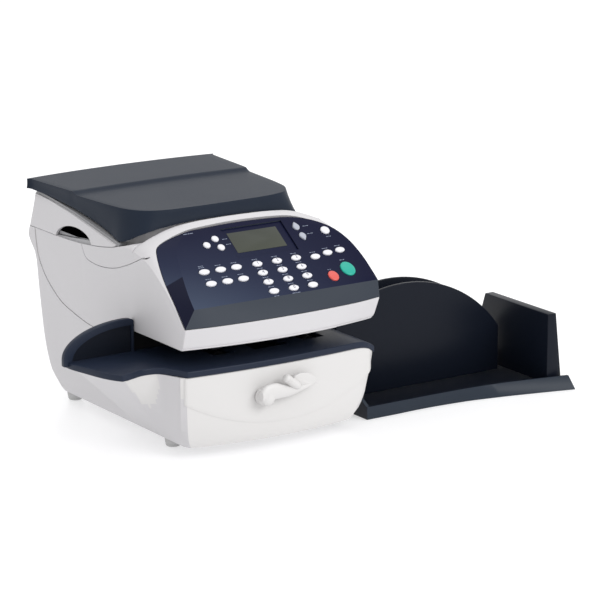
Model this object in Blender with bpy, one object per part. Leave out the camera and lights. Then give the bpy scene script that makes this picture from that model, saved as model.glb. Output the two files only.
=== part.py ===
"""Desktop franking machine with an integrated postal scale and a drop stacker.

The machine stands on four feet.  X runs along the mail path, left to right, Y runs from the
operator's side to the back, and Z is up.  All sizes below are in millimetres, in a working
frame whose zero is the front left corner of the body on the table; ORIGIN moves the model so
that its own zero is the middle of the footprint, on the table.
"""

import math

import bmesh
import bpy
from mathutils import Matrix, Vector

MM = 0.001

# Driving dimensions
BODY_WIDTH = 250.0
BODY_BACK = 361.0
TOP_HEIGHT = 258.0
WING_LEFT = -90.0
TRAY_RIGHT = 531.0
LEVER_FRONT = -38.0
DECK_TOP = 101.0
DECK_THICK = 7.0
THROAT_TOP = 124.0
WALL = 3.0
GAP = 0.4
PATH_BACK = 112.0

ORIGIN = Vector(((WING_LEFT + TRAY_RIGHT) / 2, (LEVER_FRONT + BODY_BACK) / 2, 0.0))

# Control panel: a plane that rises towards the back
PANEL_TILT = math.radians(35.0)
PANEL_START = Vector((0.0, -4.0, 167.0))
PANEL_NORMAL = Vector((0.0, -math.sin(PANEL_TILT), math.cos(PANEL_TILT)))
PANEL_UP = Vector((0.0, math.cos(PANEL_TILT), math.sin(PANEL_TILT)))

# Joint axes
LEVER_AXIS = Vector((94.0, -9.0, 62.0))
FEED_ROLLER = Vector((78.0, 0.0, 119.0))
EXIT_ROLLER = Vector((198.0, 0.0, 119.0))
ROLLER_RADIUS = 17.0
CARRIAGE_ROD_AT = Vector((172.0, 0.0, 178.0))
HINGE_AT = Vector((125.0, 358.0, 200.0))
SCALE_AT = Vector((122.5, 240.0, 250.0))

PAINTS = {
    "shell_grey": ((0.70, 0.69, 0.71), 0.45, 0.0),
    "front_white": ((0.86, 0.85, 0.85), 0.42, 0.0),
    "navy": ((0.030, 0.042, 0.075), 0.40, 0.0),
    "platform_navy": ((0.045, 0.055, 0.080), 0.45, 0.0),
    "key_white": ((0.88, 0.88, 0.90), 0.30, 0.0),
    "key_grey": ((0.42, 0.44, 0.50), 0.35, 0.0),
    "key_red": ((0.80, 0.13, 0.11), 0.30, 0.0),
    "key_green": ((0.02, 0.50, 0.38), 0.30, 0.0),
    "display": ((0.12, 0.14, 0.12), 0.30, 0.0),
    "window": ((0.20, 0.22, 0.22), 0.05, 0.0),
    "rubber": ((0.06, 0.06, 0.07), 0.80, 0.0),
    "foot_grey": ((0.45, 0.45, 0.46), 0.70, 0.0),
    "steel": ((0.60, 0.61, 0.63), 0.30, 1.0),
    "inner_black": ((0.02, 0.02, 0.022), 0.50, 0.0),
    "board_green": ((0.02, 0.20, 0.09), 0.45, 0.0),
    "cartridge_grey": ((0.25, 0.26, 0.29), 0.40, 0.0),
}


def paint(name):
    """The material of that name, made once."""
    found = bpy.data.materials.get(name)
    if found:
        return found
    colour, roughness, metallic = PAINTS[name]
    made = bpy.data.materials.new(name)
    made.use_nodes = True
    shader = made.node_tree.nodes["Principled BSDF"]
    shader.inputs["Base Color"].default_value = (*colour, 1.0)
    shader.inputs["Roughness"].default_value = roughness
    shader.inputs["Metallic"].default_value = metallic
    return made


def place(point):
    """A point of the working frame, in metres, in the model's frame."""
    return (Vector(point) - ORIGIN) * MM


def add_object(name, bm, colour, sharp_deg=32.0):
    """Turns a bmesh in working millimetres into an object with its normals outwards."""
    bmesh.ops.remove_doubles(bm, verts=bm.verts, dist=0.001)
    bmesh.ops.connect_verts_nonplanar(bm, angle_limit=0.0002, faces=bm.faces)
    bmesh.ops.recalc_face_normals(bm, faces=bm.faces)
    for vert in bm.verts:
        vert.co = place(vert.co)
    if bm.calc_volume(signed=True) < 0:
        bmesh.ops.reverse_faces(bm, faces=bm.faces)
    mesh = bpy.data.meshes.new(name)
    bm.to_mesh(mesh)
    bm.free()
    mesh.shade_smooth()
    mesh.set_sharp_from_angle(angle=math.radians(sharp_deg))
    mesh.materials.append(paint(colour))
    made = bpy.data.objects.new(name, mesh)
    bpy.context.scene.collection.objects.link(made)
    return made


def loft(name, rings, colour, sharp_deg=32.0, cap_start=True, cap_end=True):
    """Joins rings of equal count into a closed solid with flat caps."""
    bm = bmesh.new()
    rows = [[bm.verts.new(p) for p in ring] for ring in rings]
    count = len(rings[0])
    for low, high in zip(rows, rows[1:]):
        for i in range(count):
            j = (i + 1) % count
            bm.faces.new((low[i], low[j], high[j], high[i]))
    if cap_start:
        bm.faces.new(list(reversed(rows[0])))
    if cap_end:
        bm.faces.new(rows[-1])
    return add_object(name, bm, colour, sharp_deg)


AXIS_OF = {"x": lambda a, b, c: (c, a, b), "y": lambda a, b, c: (a, c, b), "z": lambda a, b, c: (a, b, c)}


def prism(name, outline, axis, low, high, colour="inner_black", sharp_deg=32.0):
    """An outline of two coordinates, extruded along the third axis from low to high."""
    turn = AXIS_OF[axis]
    return loft(name, [[turn(a, b, c) for a, b in outline] for c in (low, high)], colour, sharp_deg)


def box(name, low, high, colour="inner_black"):
    (x0, y0, z0), (x1, y1, z1) = low, high
    return prism(name, [(x0, y0), (x1, y0), (x1, y1), (x0, y1)], "z", z0, z1, colour)


def circle(cx, cy, radius, steps=20):
    return [
        (cx + radius * math.cos(2 * math.pi * i / steps), cy + radius * math.sin(2 * math.pi * i / steps))
        for i in range(steps)
    ]


def turned(name, profile, base, direction, colour, steps=20):
    """A solid of revolution: profile is (radius, height) pairs along direction from base."""
    turn = Vector((0, 0, 1)).rotation_difference(Vector(direction).normalized()).to_matrix()
    rings = [
        [Vector(base) + turn @ Vector((*p, height)) for p in circle(0, 0, radius, steps)]
        for radius, height in profile
    ]
    return loft(name, rings, colour)


def combine(target, tool, operation):
    """Joins, cuts or intersects target with a helper, which is then hidden."""
    modifier = target.modifiers.new(operation.title(), "BOOLEAN")
    modifier.operation = operation
    modifier.object = tool
    tool.hide_render = True
    tool.display_type = "WIRE"
    return target


def cut(target, tool):
    return combine(target, tool, "DIFFERENCE")


def join(target, tool):
    return combine(target, tool, "UNION")


def offset_outline(points, distance):
    """Moves a closed outline inwards, along the average of its neighbouring edge normals."""
    count = len(points)
    following = points[1:] + points[:1]
    area = sum(a[0] * b[1] - b[0] * a[1] for a, b in zip(points, following))
    side = 1.0 if area > 0 else -1.0
    moved = []
    for i in range(count):
        before = Vector(points[i]) - Vector(points[i - 1])
        after = Vector(points[(i + 1) % count]) - Vector(points[i])
        n1 = Vector((-before.y, before.x)).normalized() * side
        n2 = Vector((-after.y, after.x)).normalized() * side
        mean = (n1 + n2).normalized()
        moved.append(Vector(points[i]) + mean * (distance / max(mean.dot(n1), 0.5)))
    return [(p.x, p.y) for p in moved]


def blend(table, at):
    """Straight-line reading of a table of (position, value) pairs."""
    if at <= table[0][0]:
        return table[0][1]
    for (a, va), (b, vb) in zip(table, table[1:]):
        if at <= b:
            return va + (vb - va) * (at - a) / (b - a)
    return table[-1][1]


# Body envelope
BODY_LEFT_AT = [(12, 6), (20, 2), (40, 0), (200, 0), (244, 1)]
BODY_RIGHT_AT = [(12, 226), (20, 234), (49, 243), (78, 251), (94, 252), (124, 250), (200, 250), (244, 247)]
BODY_FRONT_AT = [(12, 5), (20, 2), (40, 0), (94, 0)]
FRONT_BOW_AT = [(12, 18), (94, 8)]
BODY_BACK_AT = [
    (12, 292), (22, 299), (34, 311), (69, 326), (127, 337), (166, 343), (189, 360), (200, 356), (237, 346), (250, 344),
]
BACK_BOW = 1.0
WING_FLARE = [(-3, 8), (-12, 33), (-32, 37), (-57, 30), (-69, 56), (-75, 97), (-79, 107), (-40, 116)]


def front_y(x, z):
    """The bowed front face of the base."""
    t = (x - BODY_WIDTH / 2) / (BODY_WIDTH / 2)
    return blend(BODY_FRONT_AT, z) - blend(FRONT_BOW_AT, z) * (1 - min(t * t, 1))


def plan_outline(z, flare=0.0):
    """The body's outline at height z, counter-clockwise from the front left corner."""
    left, right, back = blend(BODY_LEFT_AT, z), blend(BODY_RIGHT_AT, z), blend(BODY_BACK_AT, z)
    front = blend(BODY_FRONT_AT, z)
    points = [(left, front + 5)]
    for i in range(9):
        x = left + 5 + (right - left - 19) * i / 8
        points.append((x, front_y(x, z)))
    points += [(right - 5, front + 3), (right, front + 14), (right, back - 12), (right - 12, back)]
    for i in range(1, 5):
        x = right - 12 - (right - left - 24) * i / 5
        points.append((x, back + BACK_BOW * math.sin(math.pi * i / 5)))
    points += [(left + 12, back), (left, back - 12), (left, 128)]
    steps = len(WING_FLARE)
    for i, (x, y) in enumerate(reversed(WING_FLARE)):
        even = 118 + (front + 8 - 118) * i / (steps - 1)
        points.append((left + flare * x, even + flare * (y - even)))
    return points


def envelope(name, levels, inset, colour):
    rings = []
    for z in levels:
        flare = max(0.0, min(1.0, (z - 16) / 78)) ** 1.2 if z <= 94 else 0.0
        outline = plan_outline(z, max(flare, 0.02))
        if inset:
            outline = offset_outline(outline, inset)
        rings.append([(x, y, z) for x, y in outline])
    return loft(name, rings, colour)


SEAM = [
    (PATH_BACK + 5, 107), (206, 108.7), (230, 112), (255, 117), (277, 123.4), (300, 136.6), (318, 152), (330, 170),
    (335, 199.6),
]


def smile(x, drop=0.0):
    """Lower edge of the front cover: a shallow smile, lowest at mid width."""
    t = (x - BODY_WIDTH / 2) / (BODY_WIDTH / 2)
    return 30 + 33 * abs(t) ** 2.2 - drop


def build_base():
    shell = envelope("base_housing", [12, 22, 40, 69, 94, 94.5, 127, 166, 189, 199.6], 0, "shell_grey")
    hollow = envelope("base_hollow", [9, 22, 40, 69, 91, 94.5, 127, 166, 189, 203], WALL, "inner_black")
    cut(shell, hollow)
    above = [(-60, 93.6), (PATH_BACK + 5, 93.6), *SEAM, (335, 240), (-60, 240)]
    cut(shell, prism("above_seam", above, "x", -120, 300))
    left, right = 9.0, 239.0
    opening = [(left, 96), (left, smile(left))]
    opening += [(left + (right - left) * i / 12, smile(left + (right - left) * i / 12)) for i in range(1, 12)]
    opening += [(right, smile(right)), (right, 96)]
    cut(shell, prism("front_opening", opening, "y", -40, 14))
    cut(shell, box("inlet_hole", (176, 295, 30), (204, 360, 52)))
    droop = [(236, 93.3), (246, 90.4), (252, 86.4), (260, 79), (260, 100), (236, 100)]
    cut(shell, prism("deck_droop", droop, "y", -30, PATH_BACK + 5))

    plate = [(14, 14)]
    plate += [(x, front_y(x, 16) + 8) for x in range(16, 217, 25)]
    plate += [(218, 14), (218, 284), (14, 284)]
    prism("base_plate", plate, "z", 13.0, 15.5, "steel")

    for side, x in (("left", 19.0), ("right", 213.0)):
        for end, y in (("front", 56.0), ("rear", 280.0)):
            profile = [(7.5, 0), (9.0, 2.0), (9.5, 8.0), (9.5, 11.5), (6.0, 11.6), (6.0, 12.7)]
            turned(f"foot_{end}_{side}", profile, (x, y, 0), (0, 0, 1), "foot_grey", 16)


def build_front_cover():
    """A bowed door between the deck and the smile-shaped seam, with a shallow lever seat."""
    left, right, top = 9.6, 238.4, 93.0
    rings = []
    for i in range(15):
        x = left + (right - left) * i / 14
        low = smile(x) + GAP + 0.3
        zs = [low + (top - low) * k / 4 for k in range(5)]
        outer = [(x, front_y(x, z) - 1.0, z) for z in zs]
        inner = [(x, front_y(x, z) + 2.5, z) for z in reversed(zs)]
        rings.append(outer + inner)
    cover = loft("front_cover", rings, "front_white", 50)
    cut(cover, prism("lever_hole", circle(LEVER_AXIS.x, LEVER_AXIS.z, 5.3, 16), "y", -30, 10))


def build_lever():
    """Jam release lever: a hub on the front cover with a swept paddle and a thumb peg."""
    shaft_end = LEVER_AXIS + Vector((0, 8, 0))
    hub = [(4.8, 0), (4.8, 14), (8.0, 14.2), (8.5, 24), (6.5, shaft_end.y - LEVER_FRONT)]
    lever = turned("jam_release_lever", hub, shaft_end, (0, -1, 0), "front_white", 16)
    sections = []
    for i in range(9):
        t = i / 8
        sweep = Vector((2 + 71 * t, -17.5 + 5 * t * t, -5 * math.sin(math.pi * t) + 4 * t))
        high, deep = 7.0 - 1.5 * t, 4.6 - 2.0 * t
        around = [2 * math.pi * k / 12 for k in range(12)]
        sections.append([LEVER_AXIS + sweep + Vector((0, deep * math.cos(a), high * math.sin(a))) for a in around])
    join(lever, loft("lever_arm", sections, "front_white"))
    start = LEVER_AXIS + Vector((29, -13, 15))
    peg = [(3.5, 0), (5.4, 1.5), (5.2, 10), (3.4, 21)]
    join(lever, turned("lever_peg", peg, start, (0.74, -0.22, -0.63), "front_white", 12))


DECK_PLAN_WING = [
    (2, 3), (-12, 29), (-22, 33.5), (-33, 33.5), (-46, 29), (-61, 25), (-68, 38), (-73, 55), (-77, 78), (-79, 99),
    (-84, 108), (-84, 116), (2, 116),
]


def build_deck():
    """Feed deck: bowed plate with a drooping exit end, a side wing and its registration wall."""
    rings = []
    for x in (0, 20, 50, 90, 125, 160, 200, 228, 238, 246, 252, 256):
        top = blend([(228, 101), (238, 100), (246, 97.5), (252, 94), (256, 88)], x)
        low = blend([(228, 94), (238, 93.6), (246, 91), (252, 87), (256, 82)], x)
        front = front_y(min(x, 250), 94) - 1.5 + blend([(228, 0), (246, 3), (256, 12)], x)
        rings.append([(x, front, low), (x, PATH_BACK + 4, low), (x, PATH_BACK + 4, top), (x, front, top)])
    deck = loft("feed_deck", rings, "navy", 30)
    join(deck, prism("deck_wing", DECK_PLAN_WING, "z", DECK_TOP - DECK_THICK, DECK_TOP, "navy"))
    wall = [(WING_LEFT, 95), (0, 95), (0, 138), (-4, 139.6)]
    quarter = [math.pi / 2 * k / 9 for k in range(1, 10)]
    wall += [(-12 + (WING_LEFT + 12) * math.sin(a), 104 + 36 * math.cos(a)) for a in quarter]
    join(deck, prism("deck_wall", wall, "y", PATH_BACK - 6, PATH_BACK - 1, "navy"))
    join(deck, box("path_wall", (-2, PATH_BACK - 2, 96), (256, PATH_BACK + 4, 123.4)))
    for name, x in (("feed", FEED_ROLLER.x), ("exit", EXIT_ROLLER.x)):
        cut(deck, box(f"{name}_idler_slot", (x - 14, 40, 80), (x + 14, 92, 110)))
        cut(deck, box(f"{name}_shaft_slot", (x - 6, 105, 111), (x + 6, 125, 130)))
    cut(deck, box("print_slot", (116, 36, 80), (160, 92, 110)))


# Console
# Height of the console's skin at seven depths, for stations from left to right.
CONSOLE_Y = (0, 17, 46, 74, 92, 103)
CONSOLE_SKIN = [
    (0.5, (152, 170, 192, 208, 213.5, 215.5)),
    (6, (158, 174, 196, 213, 219, 221)),
    (13, (167, 178.7, 197.7, 216, 222.5, 224.5)),
    (27, (169.8, 181.7, 202, 218.5, 227, 230)),
    (45, (169.8, 181.7, 202, 221.6, 231, 235.5)),
    (62, (169.8, 181.7, 202, 221.6, 233.5, 238.5)),
    (90, (169.8, 181.7, 202, 221.6, 234.2, 240.5)),
    (125, (169.8, 181.7, 202, 221.6, 234.2, 241)),
    (160, (169.8, 181.7, 202, 221.6, 234.2, 240.5)),
    (195, (169.8, 181.7, 202, 221.6, 233.6, 238.5)),
    (212, (169.8, 181.7, 202, 221.6, 231.5, 235.5)),
    (228, (169.8, 181.7, 202, 221, 227.5, 230)),
    (243, (169.8, 181.7, 202, 217.5, 222, 224)),
    (252, (169.8, 181.7, 201, 212, 217, 219)),
    (257.5, (167, 179, 198, 207, 212.5, 214.5)),
]
SPLIT = [(108, 226), (116, 221.5), (128, 217.8), (158, 210.3), (194, 205), (240, 201), (285, 200), (334.6, 200)]


def console_front(x):
    t = (x - 129) / 129
    return 1 - t * t


def console_profile(x, skin):
    """YZ section of the console housing at one station, from the front bottom edge up and back."""
    bow = console_front(x)
    points = [(2.6 - 15.2 * bow, THROAT_TOP), (-4.3 - 9.8 * bow, 148.9)]
    points += list(zip(CONSOLE_Y, skin))
    crown = skin[-1]
    points += [(107.5, crown - 0.5)]
    points += [(y, min(z - 0.3, crown + 2.0)) for y, z in SPLIT]
    points += [(y - 0.6, z + 0.4) for y, z in reversed(SEAM[1:])]
    points += [(PATH_BACK + 5, 107.4), (PATH_BACK + 5, THROAT_TOP)]
    return points


def build_console():
    taper = lambda x, z: x if x < 200 else x - blend([(124, 11), (132, 5), (149, 0)], z)
    rings, inner = [], []
    for x, skin in CONSOLE_SKIN:
        section = console_profile(x, skin)
        rings.append([(taper(x, z), y, z) for y, z in section])
    housing = loft("console_housing", rings, "shell_grey", 28)
    for x, skin in CONSOLE_SKIN[1:-1]:
        full = skin if x < 10 else CONSOLE_SKIN[7][1][:4] + skin[4:]
        roof = [(y, z - 3.2) for y, z in zip(CONSOLE_Y, full)]
        roof[0] = (2.0, roof[0][1] + 1.0)
        inner.append([(min(x, 240), y, z) for y, z in [(6, 127.5), (1.5, 149), *roof, (105, 127.5)]])
    inner[-1] = [(243, y, z) for _, y, z in inner[-1]]
    cut(housing, loft("console_hollow", inner, "inner_black"))
    cut(housing, bezel_solid("bezel_seat", True))
    cut(housing, box("console_middle", (8, 98, 127.5), (238, 130, 206)))
    cut(housing, box("console_inside", (8, PATH_BACK + 12, 100), (238, 322, 240)))
    cut(housing, box("path_clearance", (9, PATH_BACK + 3, 100), (237, PATH_BACK + 14, THROAT_TOP)))
    cut(housing, box("cover_mouth", (8, 117, 205), (240, 322, 260)))
    wedge = [(242 + 42 * math.cos(a), 203 + 10.4 * math.sin(a)) for a in [math.pi * (1 + k / 8) for k in range(9)]]
    wedge += [(284, 215), (200, 215)]
    cut(housing, prism("grip_wedge", wedge, "x", -5, 8.4))
    for name, x in (("feed", FEED_ROLLER.x), ("exit", EXIT_ROLLER.x)):
        cut(housing, box(f"{name}_roller_slot", (x - 19, 38, 110), (x + 19, 94, 132)))
    cut(housing, box("head_slot", (118, 34, 110), (158, 130, 132)))
    cut(housing, box("shaft_slot_feed", (FEED_ROLLER.x - 6, 90, 108), (FEED_ROLLER.x + 6, 130, 132)))
    cut(housing, box("shaft_slot_exit", (EXIT_ROLLER.x - 6, 90, 108), (EXIT_ROLLER.x + 6, 130, 132)))


# The bezel: outer edge and crest, point by point, counter-clockwise seen from above.
BEZEL_LEFT = [
    ((1, -4.2, 149.6), (15, 4)),
    ((1.6, 17, 171.8), (18.5, 26.6)),
    ((4.5, 46, 195), (26.5, 61)),
    ((13, 74.5, 215.5), (35, 88)),
    ((25, 87, 224.2), (47, 104)),
]
BEZEL_ARCH = [
    (62, 114.5), (85, 116.5), (115, 118), (147, 117.5), (188, 114.5), (209, 109), (226, 100), (240, 86.5), (249.5, 66),
    (253.5, 42), (254, 20),
]


def on_panel(x, up, out=0.0):
    """A point of the panel: x across, up along the slope, out along its normal."""
    return Vector((x, 0, 0)) + PANEL_START + PANEL_UP * up + PANEL_NORMAL * out


def bezel_loops():
    outer, crest = [], []
    for x in (255, 225, 192, 160, 125, 92, 60, 30):
        outer.append(Vector((x, -4.3 - 9.8 * console_front(x), 149.4)))
        crest.append(on_panel(min(max(x, 20), 250.5), 4))
    outer[0].y += 1.0
    for edge, (x, up) in BEZEL_LEFT:
        outer.append(Vector(edge))
        crest.append(on_panel(x, up))
    for x, up in BEZEL_ARCH:
        crest.append(on_panel(x, up))
        lean = (x - 125) / 130
        outer.append(on_panel(x + 2.4 * lean, up + 3.2 * (1 - abs(lean) ** 3), -3.0))
    return outer, crest


def bezel_solid(name, seat):
    """The bezel's slab, or the slightly larger cutter that makes its seat."""
    outer, crest = bezel_loops()
    centre = sum(crest, Vector()) / len(crest)
    inward, sink, depth = (1.0, 4.4, 5.6) if seat else (4.2, 0.8, 2.6)
    under_edge = [p + (centre - p).normalized() * inward - PANEL_NORMAL * sink for p in outer]
    under_crest = [p + (centre - p) * 0.03 - PANEL_NORMAL * depth for p in crest]
    if seat:
        edge = [p - (centre - p).normalized() * 0.8 for p in outer]
        lifted = [p - (centre - p).normalized() * 1.5 + PANEL_NORMAL * 12 for p in outer]
        return loft(name, [under_crest, under_edge, edge, lifted], "inner_black")
    return loft(name, [under_crest, under_edge, outer, crest], "navy", 20)


# Keys: name, place on the panel (across, up), half sizes, colour
KEY_HALF = (6.4, 3.9)
DIGIT_X, DIGIT_UP = (122.6, 148.7, 174.2), (53.8, 40.0, 26.0, 11.8)
MENU_X, MENU_UP = (53.2, 74.4, 95.1), (54.0, 36.2)


def key_table():
    keys = []
    names = ("1", "2", "3", "4", "5", "6", "7", "8", "9", "clear", "0", "point")
    for i, label in enumerate(names):
        keys.append((f"key_{label}", DIGIT_X[i % 3], DIGIT_UP[i // 3], KEY_HALF, "key_white"))
    for row, up in enumerate(MENU_UP):
        for col, x in enumerate(MENU_X):
            keys.append((f"key_menu_{row * 3 + col + 1}", x, up, (7.0, 3.9), "key_white"))
    for i, (x, up) in enumerate(((198.9, 51.1), (217.1, 54.0), (234.5, 55.2))):
        keys.append((f"key_option_{i + 1}", x, up, (6.4, 3.9), "key_white"))
    for i, (x, up) in enumerate(((90.0, 98.7), (75.6, 91.5), (91.3, 85.3))):
        keys.append((f"key_select_{i + 1}", x, up, (4.6, 4.6), "key_white"))
    keys.append(("key_home", 231.7, 87.1, (6.0, 6.0), "key_white"))
    keys.append(("key_scroll_up", 198.3, 99.5, (5.0, 5.6), "key_grey"))
    keys.append(("key_scroll_down", 199.5, 83.0, (5.0, 5.6), "key_grey"))
    keys.append(("key_stop", 206.2, 19.5, (6.6, 7.4), "key_red"))
    keys.append(("key_start", 229.5, 26.5, (9.2, 10.4), "key_green"))
    return keys


KEY_RISE = 2.2
KEY_STEPS = 14


def key_ring(x, up, half, grow, out, steps=KEY_STEPS):
    return [
        on_panel(x + (half[0] + grow) * math.cos(a), up + (half[1] + grow) * math.sin(a), out)
        for a in [2 * math.pi * k / steps for k in range(steps)]
    ]


def build_keys(bezel):
    for name, x, up, half, colour in key_table():
        rings = [(0, -6.0), (0, KEY_RISE * 0.45), (-0.9, KEY_RISE * 0.85), (-2.4, KEY_RISE)]
        loft(name, [key_ring(x, up, half, grow, out) for grow, out in rings], colour)
        hole = [key_ring(x, up, half, 0.5, out) for out in (-9.0, 6.0)]
        cut(bezel, loft(f"{name}_hole", hole, "inner_black"))


def panel_block(name, across, up, out, colour):
    """A block square to the panel, between two readings each of across, up and out."""
    corners = [(across[0], up[0]), (across[1], up[0]), (across[1], up[1]), (across[0], up[1])]
    return loft(name, [[on_panel(x, u, o) for x, u in corners] for o in out], colour)


def build_panel():
    bezel = bezel_solid("control_bezel", False)
    cut(bezel, panel_block("window_hole", (107, 178), (73, 110), (-9.0, 6.0), "inner_black"))
    build_keys(bezel)
    panel_block("lcd_window", (107.6, 177.4), (73.6, 109.4), (-2.8, -1.2), "window")
    panel_block("lcd_module", (104, 181), (71, 112), (-10.0, -4.6), "display")


# Top cover and scale
PLATFORM_MID = 122.5
# Left half of the platform: lower edge (x, y, z) and top edge (x, y)
PLATFORM_HALF = [
    ((122.5, 350.0, 247.5), (122.5, 349.5)),
    ((60.0, 348.0, 247.3), (60.0, 347.4)),
    ((-1.0, 342.0, 246.5), (-1.0, 341.0)),
    ((-2.0, 336.0, 246.0), (-2.0, 335.0)),
    ((2.0, 300.0, 243.5), (0.5, 300.0)),
    ((5.0, 262.0, 239.5), (3.2, 262.0)),
    ((6.0, 252.0, 238.2), (4.2, 252.0)),
    ((6.8, 240.0, 236.3), (5.4, 240.0)),
    ((8.5, 205.0, 230.3), (8.2, 205.0)),
    ((8.0, 172.0, 224.0), (11.5, 172.0)),
    ((6.0, 142.0, 219.0), (17.0, 145.0)),
    ((18.0, 121.0, 228.5), (31.0, 125.0)),
    ((42.0, 115.0, 234.8), (54.0, 117.0)),
    ((80.0, 112.5, 238.9), (88.0, 115.0)),
    ((122.5, 112.0, 239.8), (122.5, 114.4)),
]


def platform_top(y):
    """Raised shelf at the back, with a soft step down to the pan in front."""
    return blend([(240, 255.0), (252, TOP_HEIGHT)], y)


def platform_loop(inset, drop, level):
    """Closed loop of the platform at its lower edge (level 0) or its top edge (level 1)."""
    half = []
    for (x, y, z), (tx, ty) in PLATFORM_HALF:
        half.append((x, y, z + drop) if level == 0 else (tx, ty, platform_top(ty) + drop))
    right = [(2 * PLATFORM_MID - x, y, z) for x, y, z in reversed(half[1:-1])]
    loop = half + right
    flat = offset_outline([(x, y) for x, y, _ in loop], inset)
    return [(x, y, z) for (x, y), (_, _, z) in zip(flat, loop)]


def ladder(bm, row, count):
    """Closes a symmetric loop with strips from its left half to its right half."""
    left = row[:count]
    right = [row[0]] + list(reversed(row[count:])) + [row[count - 1]]
    for i in range(count - 1):
        corners = [left[i], left[i + 1], right[i + 1], right[i]]
        unique = [v for k, v in enumerate(corners) if v not in corners[:k]]
        bm.faces.new(unique)


def build_platform():
    """Weighing platform: a pan with a deep curved skirt, open underneath."""
    bm = bmesh.new()
    loops = [platform_loop(0, 0, 0), platform_loop(0, 0, 1), platform_loop(WALL, -WALL, 1), platform_loop(2.4, 0, 0)]
    rows = [[bm.verts.new(p) for p in loop] for loop in loops]
    size, half = len(rows[0]), len(PLATFORM_HALF)
    for a, b in ((0, 1), (2, 3), (3, 0)):
        for i in range(size):
            j = (i + 1) % size
            bm.faces.new((rows[a][i], rows[a][j], rows[b][j], rows[b][i]))
    ladder(bm, rows[1], half)
    ladder(bm, rows[2], half)
    add_object("scale_platform", bm, "platform_navy", 30)


def cover_outline(z):
    """Plan of the top cover: the body outline behind the console, rounded at its front."""
    left, right, back = blend(BODY_LEFT_AT, z) + 0.2, blend(BODY_RIGHT_AT, z), blend(BODY_BACK_AT, z)
    left += blend([(200, 0), (244, 2)], z)
    right -= blend([(200, 2), (244, 5)], z)
    points = [(left, 149), (left + 17, 148), (left + 25, 139), (left + 38, 130), (left + 64, 124)]
    points += [(right - 64, 124), (right - 38, 130), (right - 25, 139), (right - 17, 148), (right, 149)]
    points += [(right, back - 12), (right - 12, back), ((left + right) / 2, back + BACK_BOW)]
    return points + [(left + 12, back), (left, back - 12)]


SKIRT_LINE = [(142, 216), (172, 221), (205, 227), (240, 233), (262, 236), (300, 240.5), (330, 242.6)]


def build_top_cover():
    """Hinged cover that carries the scale: flush sides below, stepped in under the skirt."""
    rings = [[(x, y, z) for x, y in cover_outline(z)] for z in (200.3, 222, 242)]
    cover = loft("top_cover", rings, "shell_grey")
    over = [(90, 300), (90, 216), *SKIRT_LINE, (360, 242.6), (360, 300)]
    cut(cover, prism("left_step", over, "x", -20, 16))
    cut(cover, prism("right_step", over, "x", 229, 300))
    cut(cover, box("upper_hollow", (24, 152, 190), (222, 330, 238.5)))
    under = [(150, 190), *[(y + 4, z - 3.4) for y, z in SKIRT_LINE], (334, 190)]
    cut(cover, prism("lower_hollow", under, "x", 3.6, 240))
    below = [(60, 150), (60, 227), *[(y, z + 0.4) for y, z in SPLIT], (400, 200.4), (400, 150)]
    cut(cover, prism("below_split", below, "x", -50, 300))
    join(cover, box("grip_backing", (2.6, 198, 206), (13.0, 288, 223)))
    join(cover, box("grip_skin", (9.0, 198, 201.8), (13.0, 288, 208)))
    grip = [(286, 190), (286, 201), (279, 209), (263, 216), (244, 218), (224, 215.5), (208, 211), (200, 206), (200, 190)]
    cut(cover, prism("grip_recess", grip, "x", -10, 10.0))
    cut(cover, box("cell_opening", (92, 196, 230), (152, 284, 250)))

    box("load_cell", (100, 206, 226), (144, 272, 233))
    spider = box("scale_spider", (112, 214, 234), (132, 266, 251))
    for i, (x0, y0, x1, y1) in enumerate(((36, 236, 208, 244), (114, 150, 130, 320))):
        join(spider, box(f"spider_arm_{i}", (x0, y0, 245.5), (x1, y1, 250.6)))


# Drop stacker
TRAY_LEFT = 254.5
# Front edge of the tray: x, then y at the floor and y at the top of the lip
TRAY_FRONT_LINE = [
    (TRAY_LEFT, 15, 15), (290, 15, 15), (330, 16, 15), (385, 13, 14), (437, 4, 10), (490, -9, 0), (TRAY_RIGHT, -20, -9),
]
DOME_TOP, DOME_MID, DOME_RADIUS = 133.0, 355.0, 173.0


def dome_z(x):
    return DOME_TOP - DOME_RADIUS + math.sqrt(max(DOME_RADIUS**2 - (x - DOME_MID) ** 2, 0))


def build_tray():
    """Drop stacker tray: floor with a raised front lip, a domed guide wall and an end wall."""
    rings = []
    for x, y_low, y_top in TRAY_FRONT_LINE:
        back = blend([(TRAY_LEFT, 150), (TRAY_RIGHT, 162)], x)
        section = [(y_low, 0), (back, 0), (back, 6), (y_top + 5.0, 6), (y_top + 3.4, 15), (y_top, 15)]
        shift = lambda z, x=x: x - (z * 0.12 if x > 500 else 0)
        rings.append([(shift(z), y, z) for y, z in section])
    tray = loft("tray_base", rings, "navy", 25)
    join(tray, box("tray_left_rib", (TRAY_LEFT, 15, 0), (TRAY_LEFT + 4, 150, 60), "navy"))

    stations = [TRAY_LEFT + 4.6 + (495 - TRAY_LEFT - 4.6) * i / 16 for i in range(17)]
    rings = []
    for x in stations:
        top = dome_z(x)
        section = [(90, 6.4), (90, top), (93.5, top), (93.5, 12), (114.5, 12), (114.5, top), (118, top), (118, 6.4)]
        rings.append([(x, y, z) for y, z in section])
    loft("tray_guide", rings, "navy", 30)

    front = [(505, 6.4), (527, 6.4), (515, 92), (505, 92)]
    rings = []
    for y_low, y_top in ((2.6, 2.6), (60, 60), (158, 127)):
        rings.append([(x, y_low + (y_top - y_low) * (z - 6.4) / 85.6, z) for x, z in front])
    loft("tray_end_wall", rings, "navy", 30)


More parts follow.
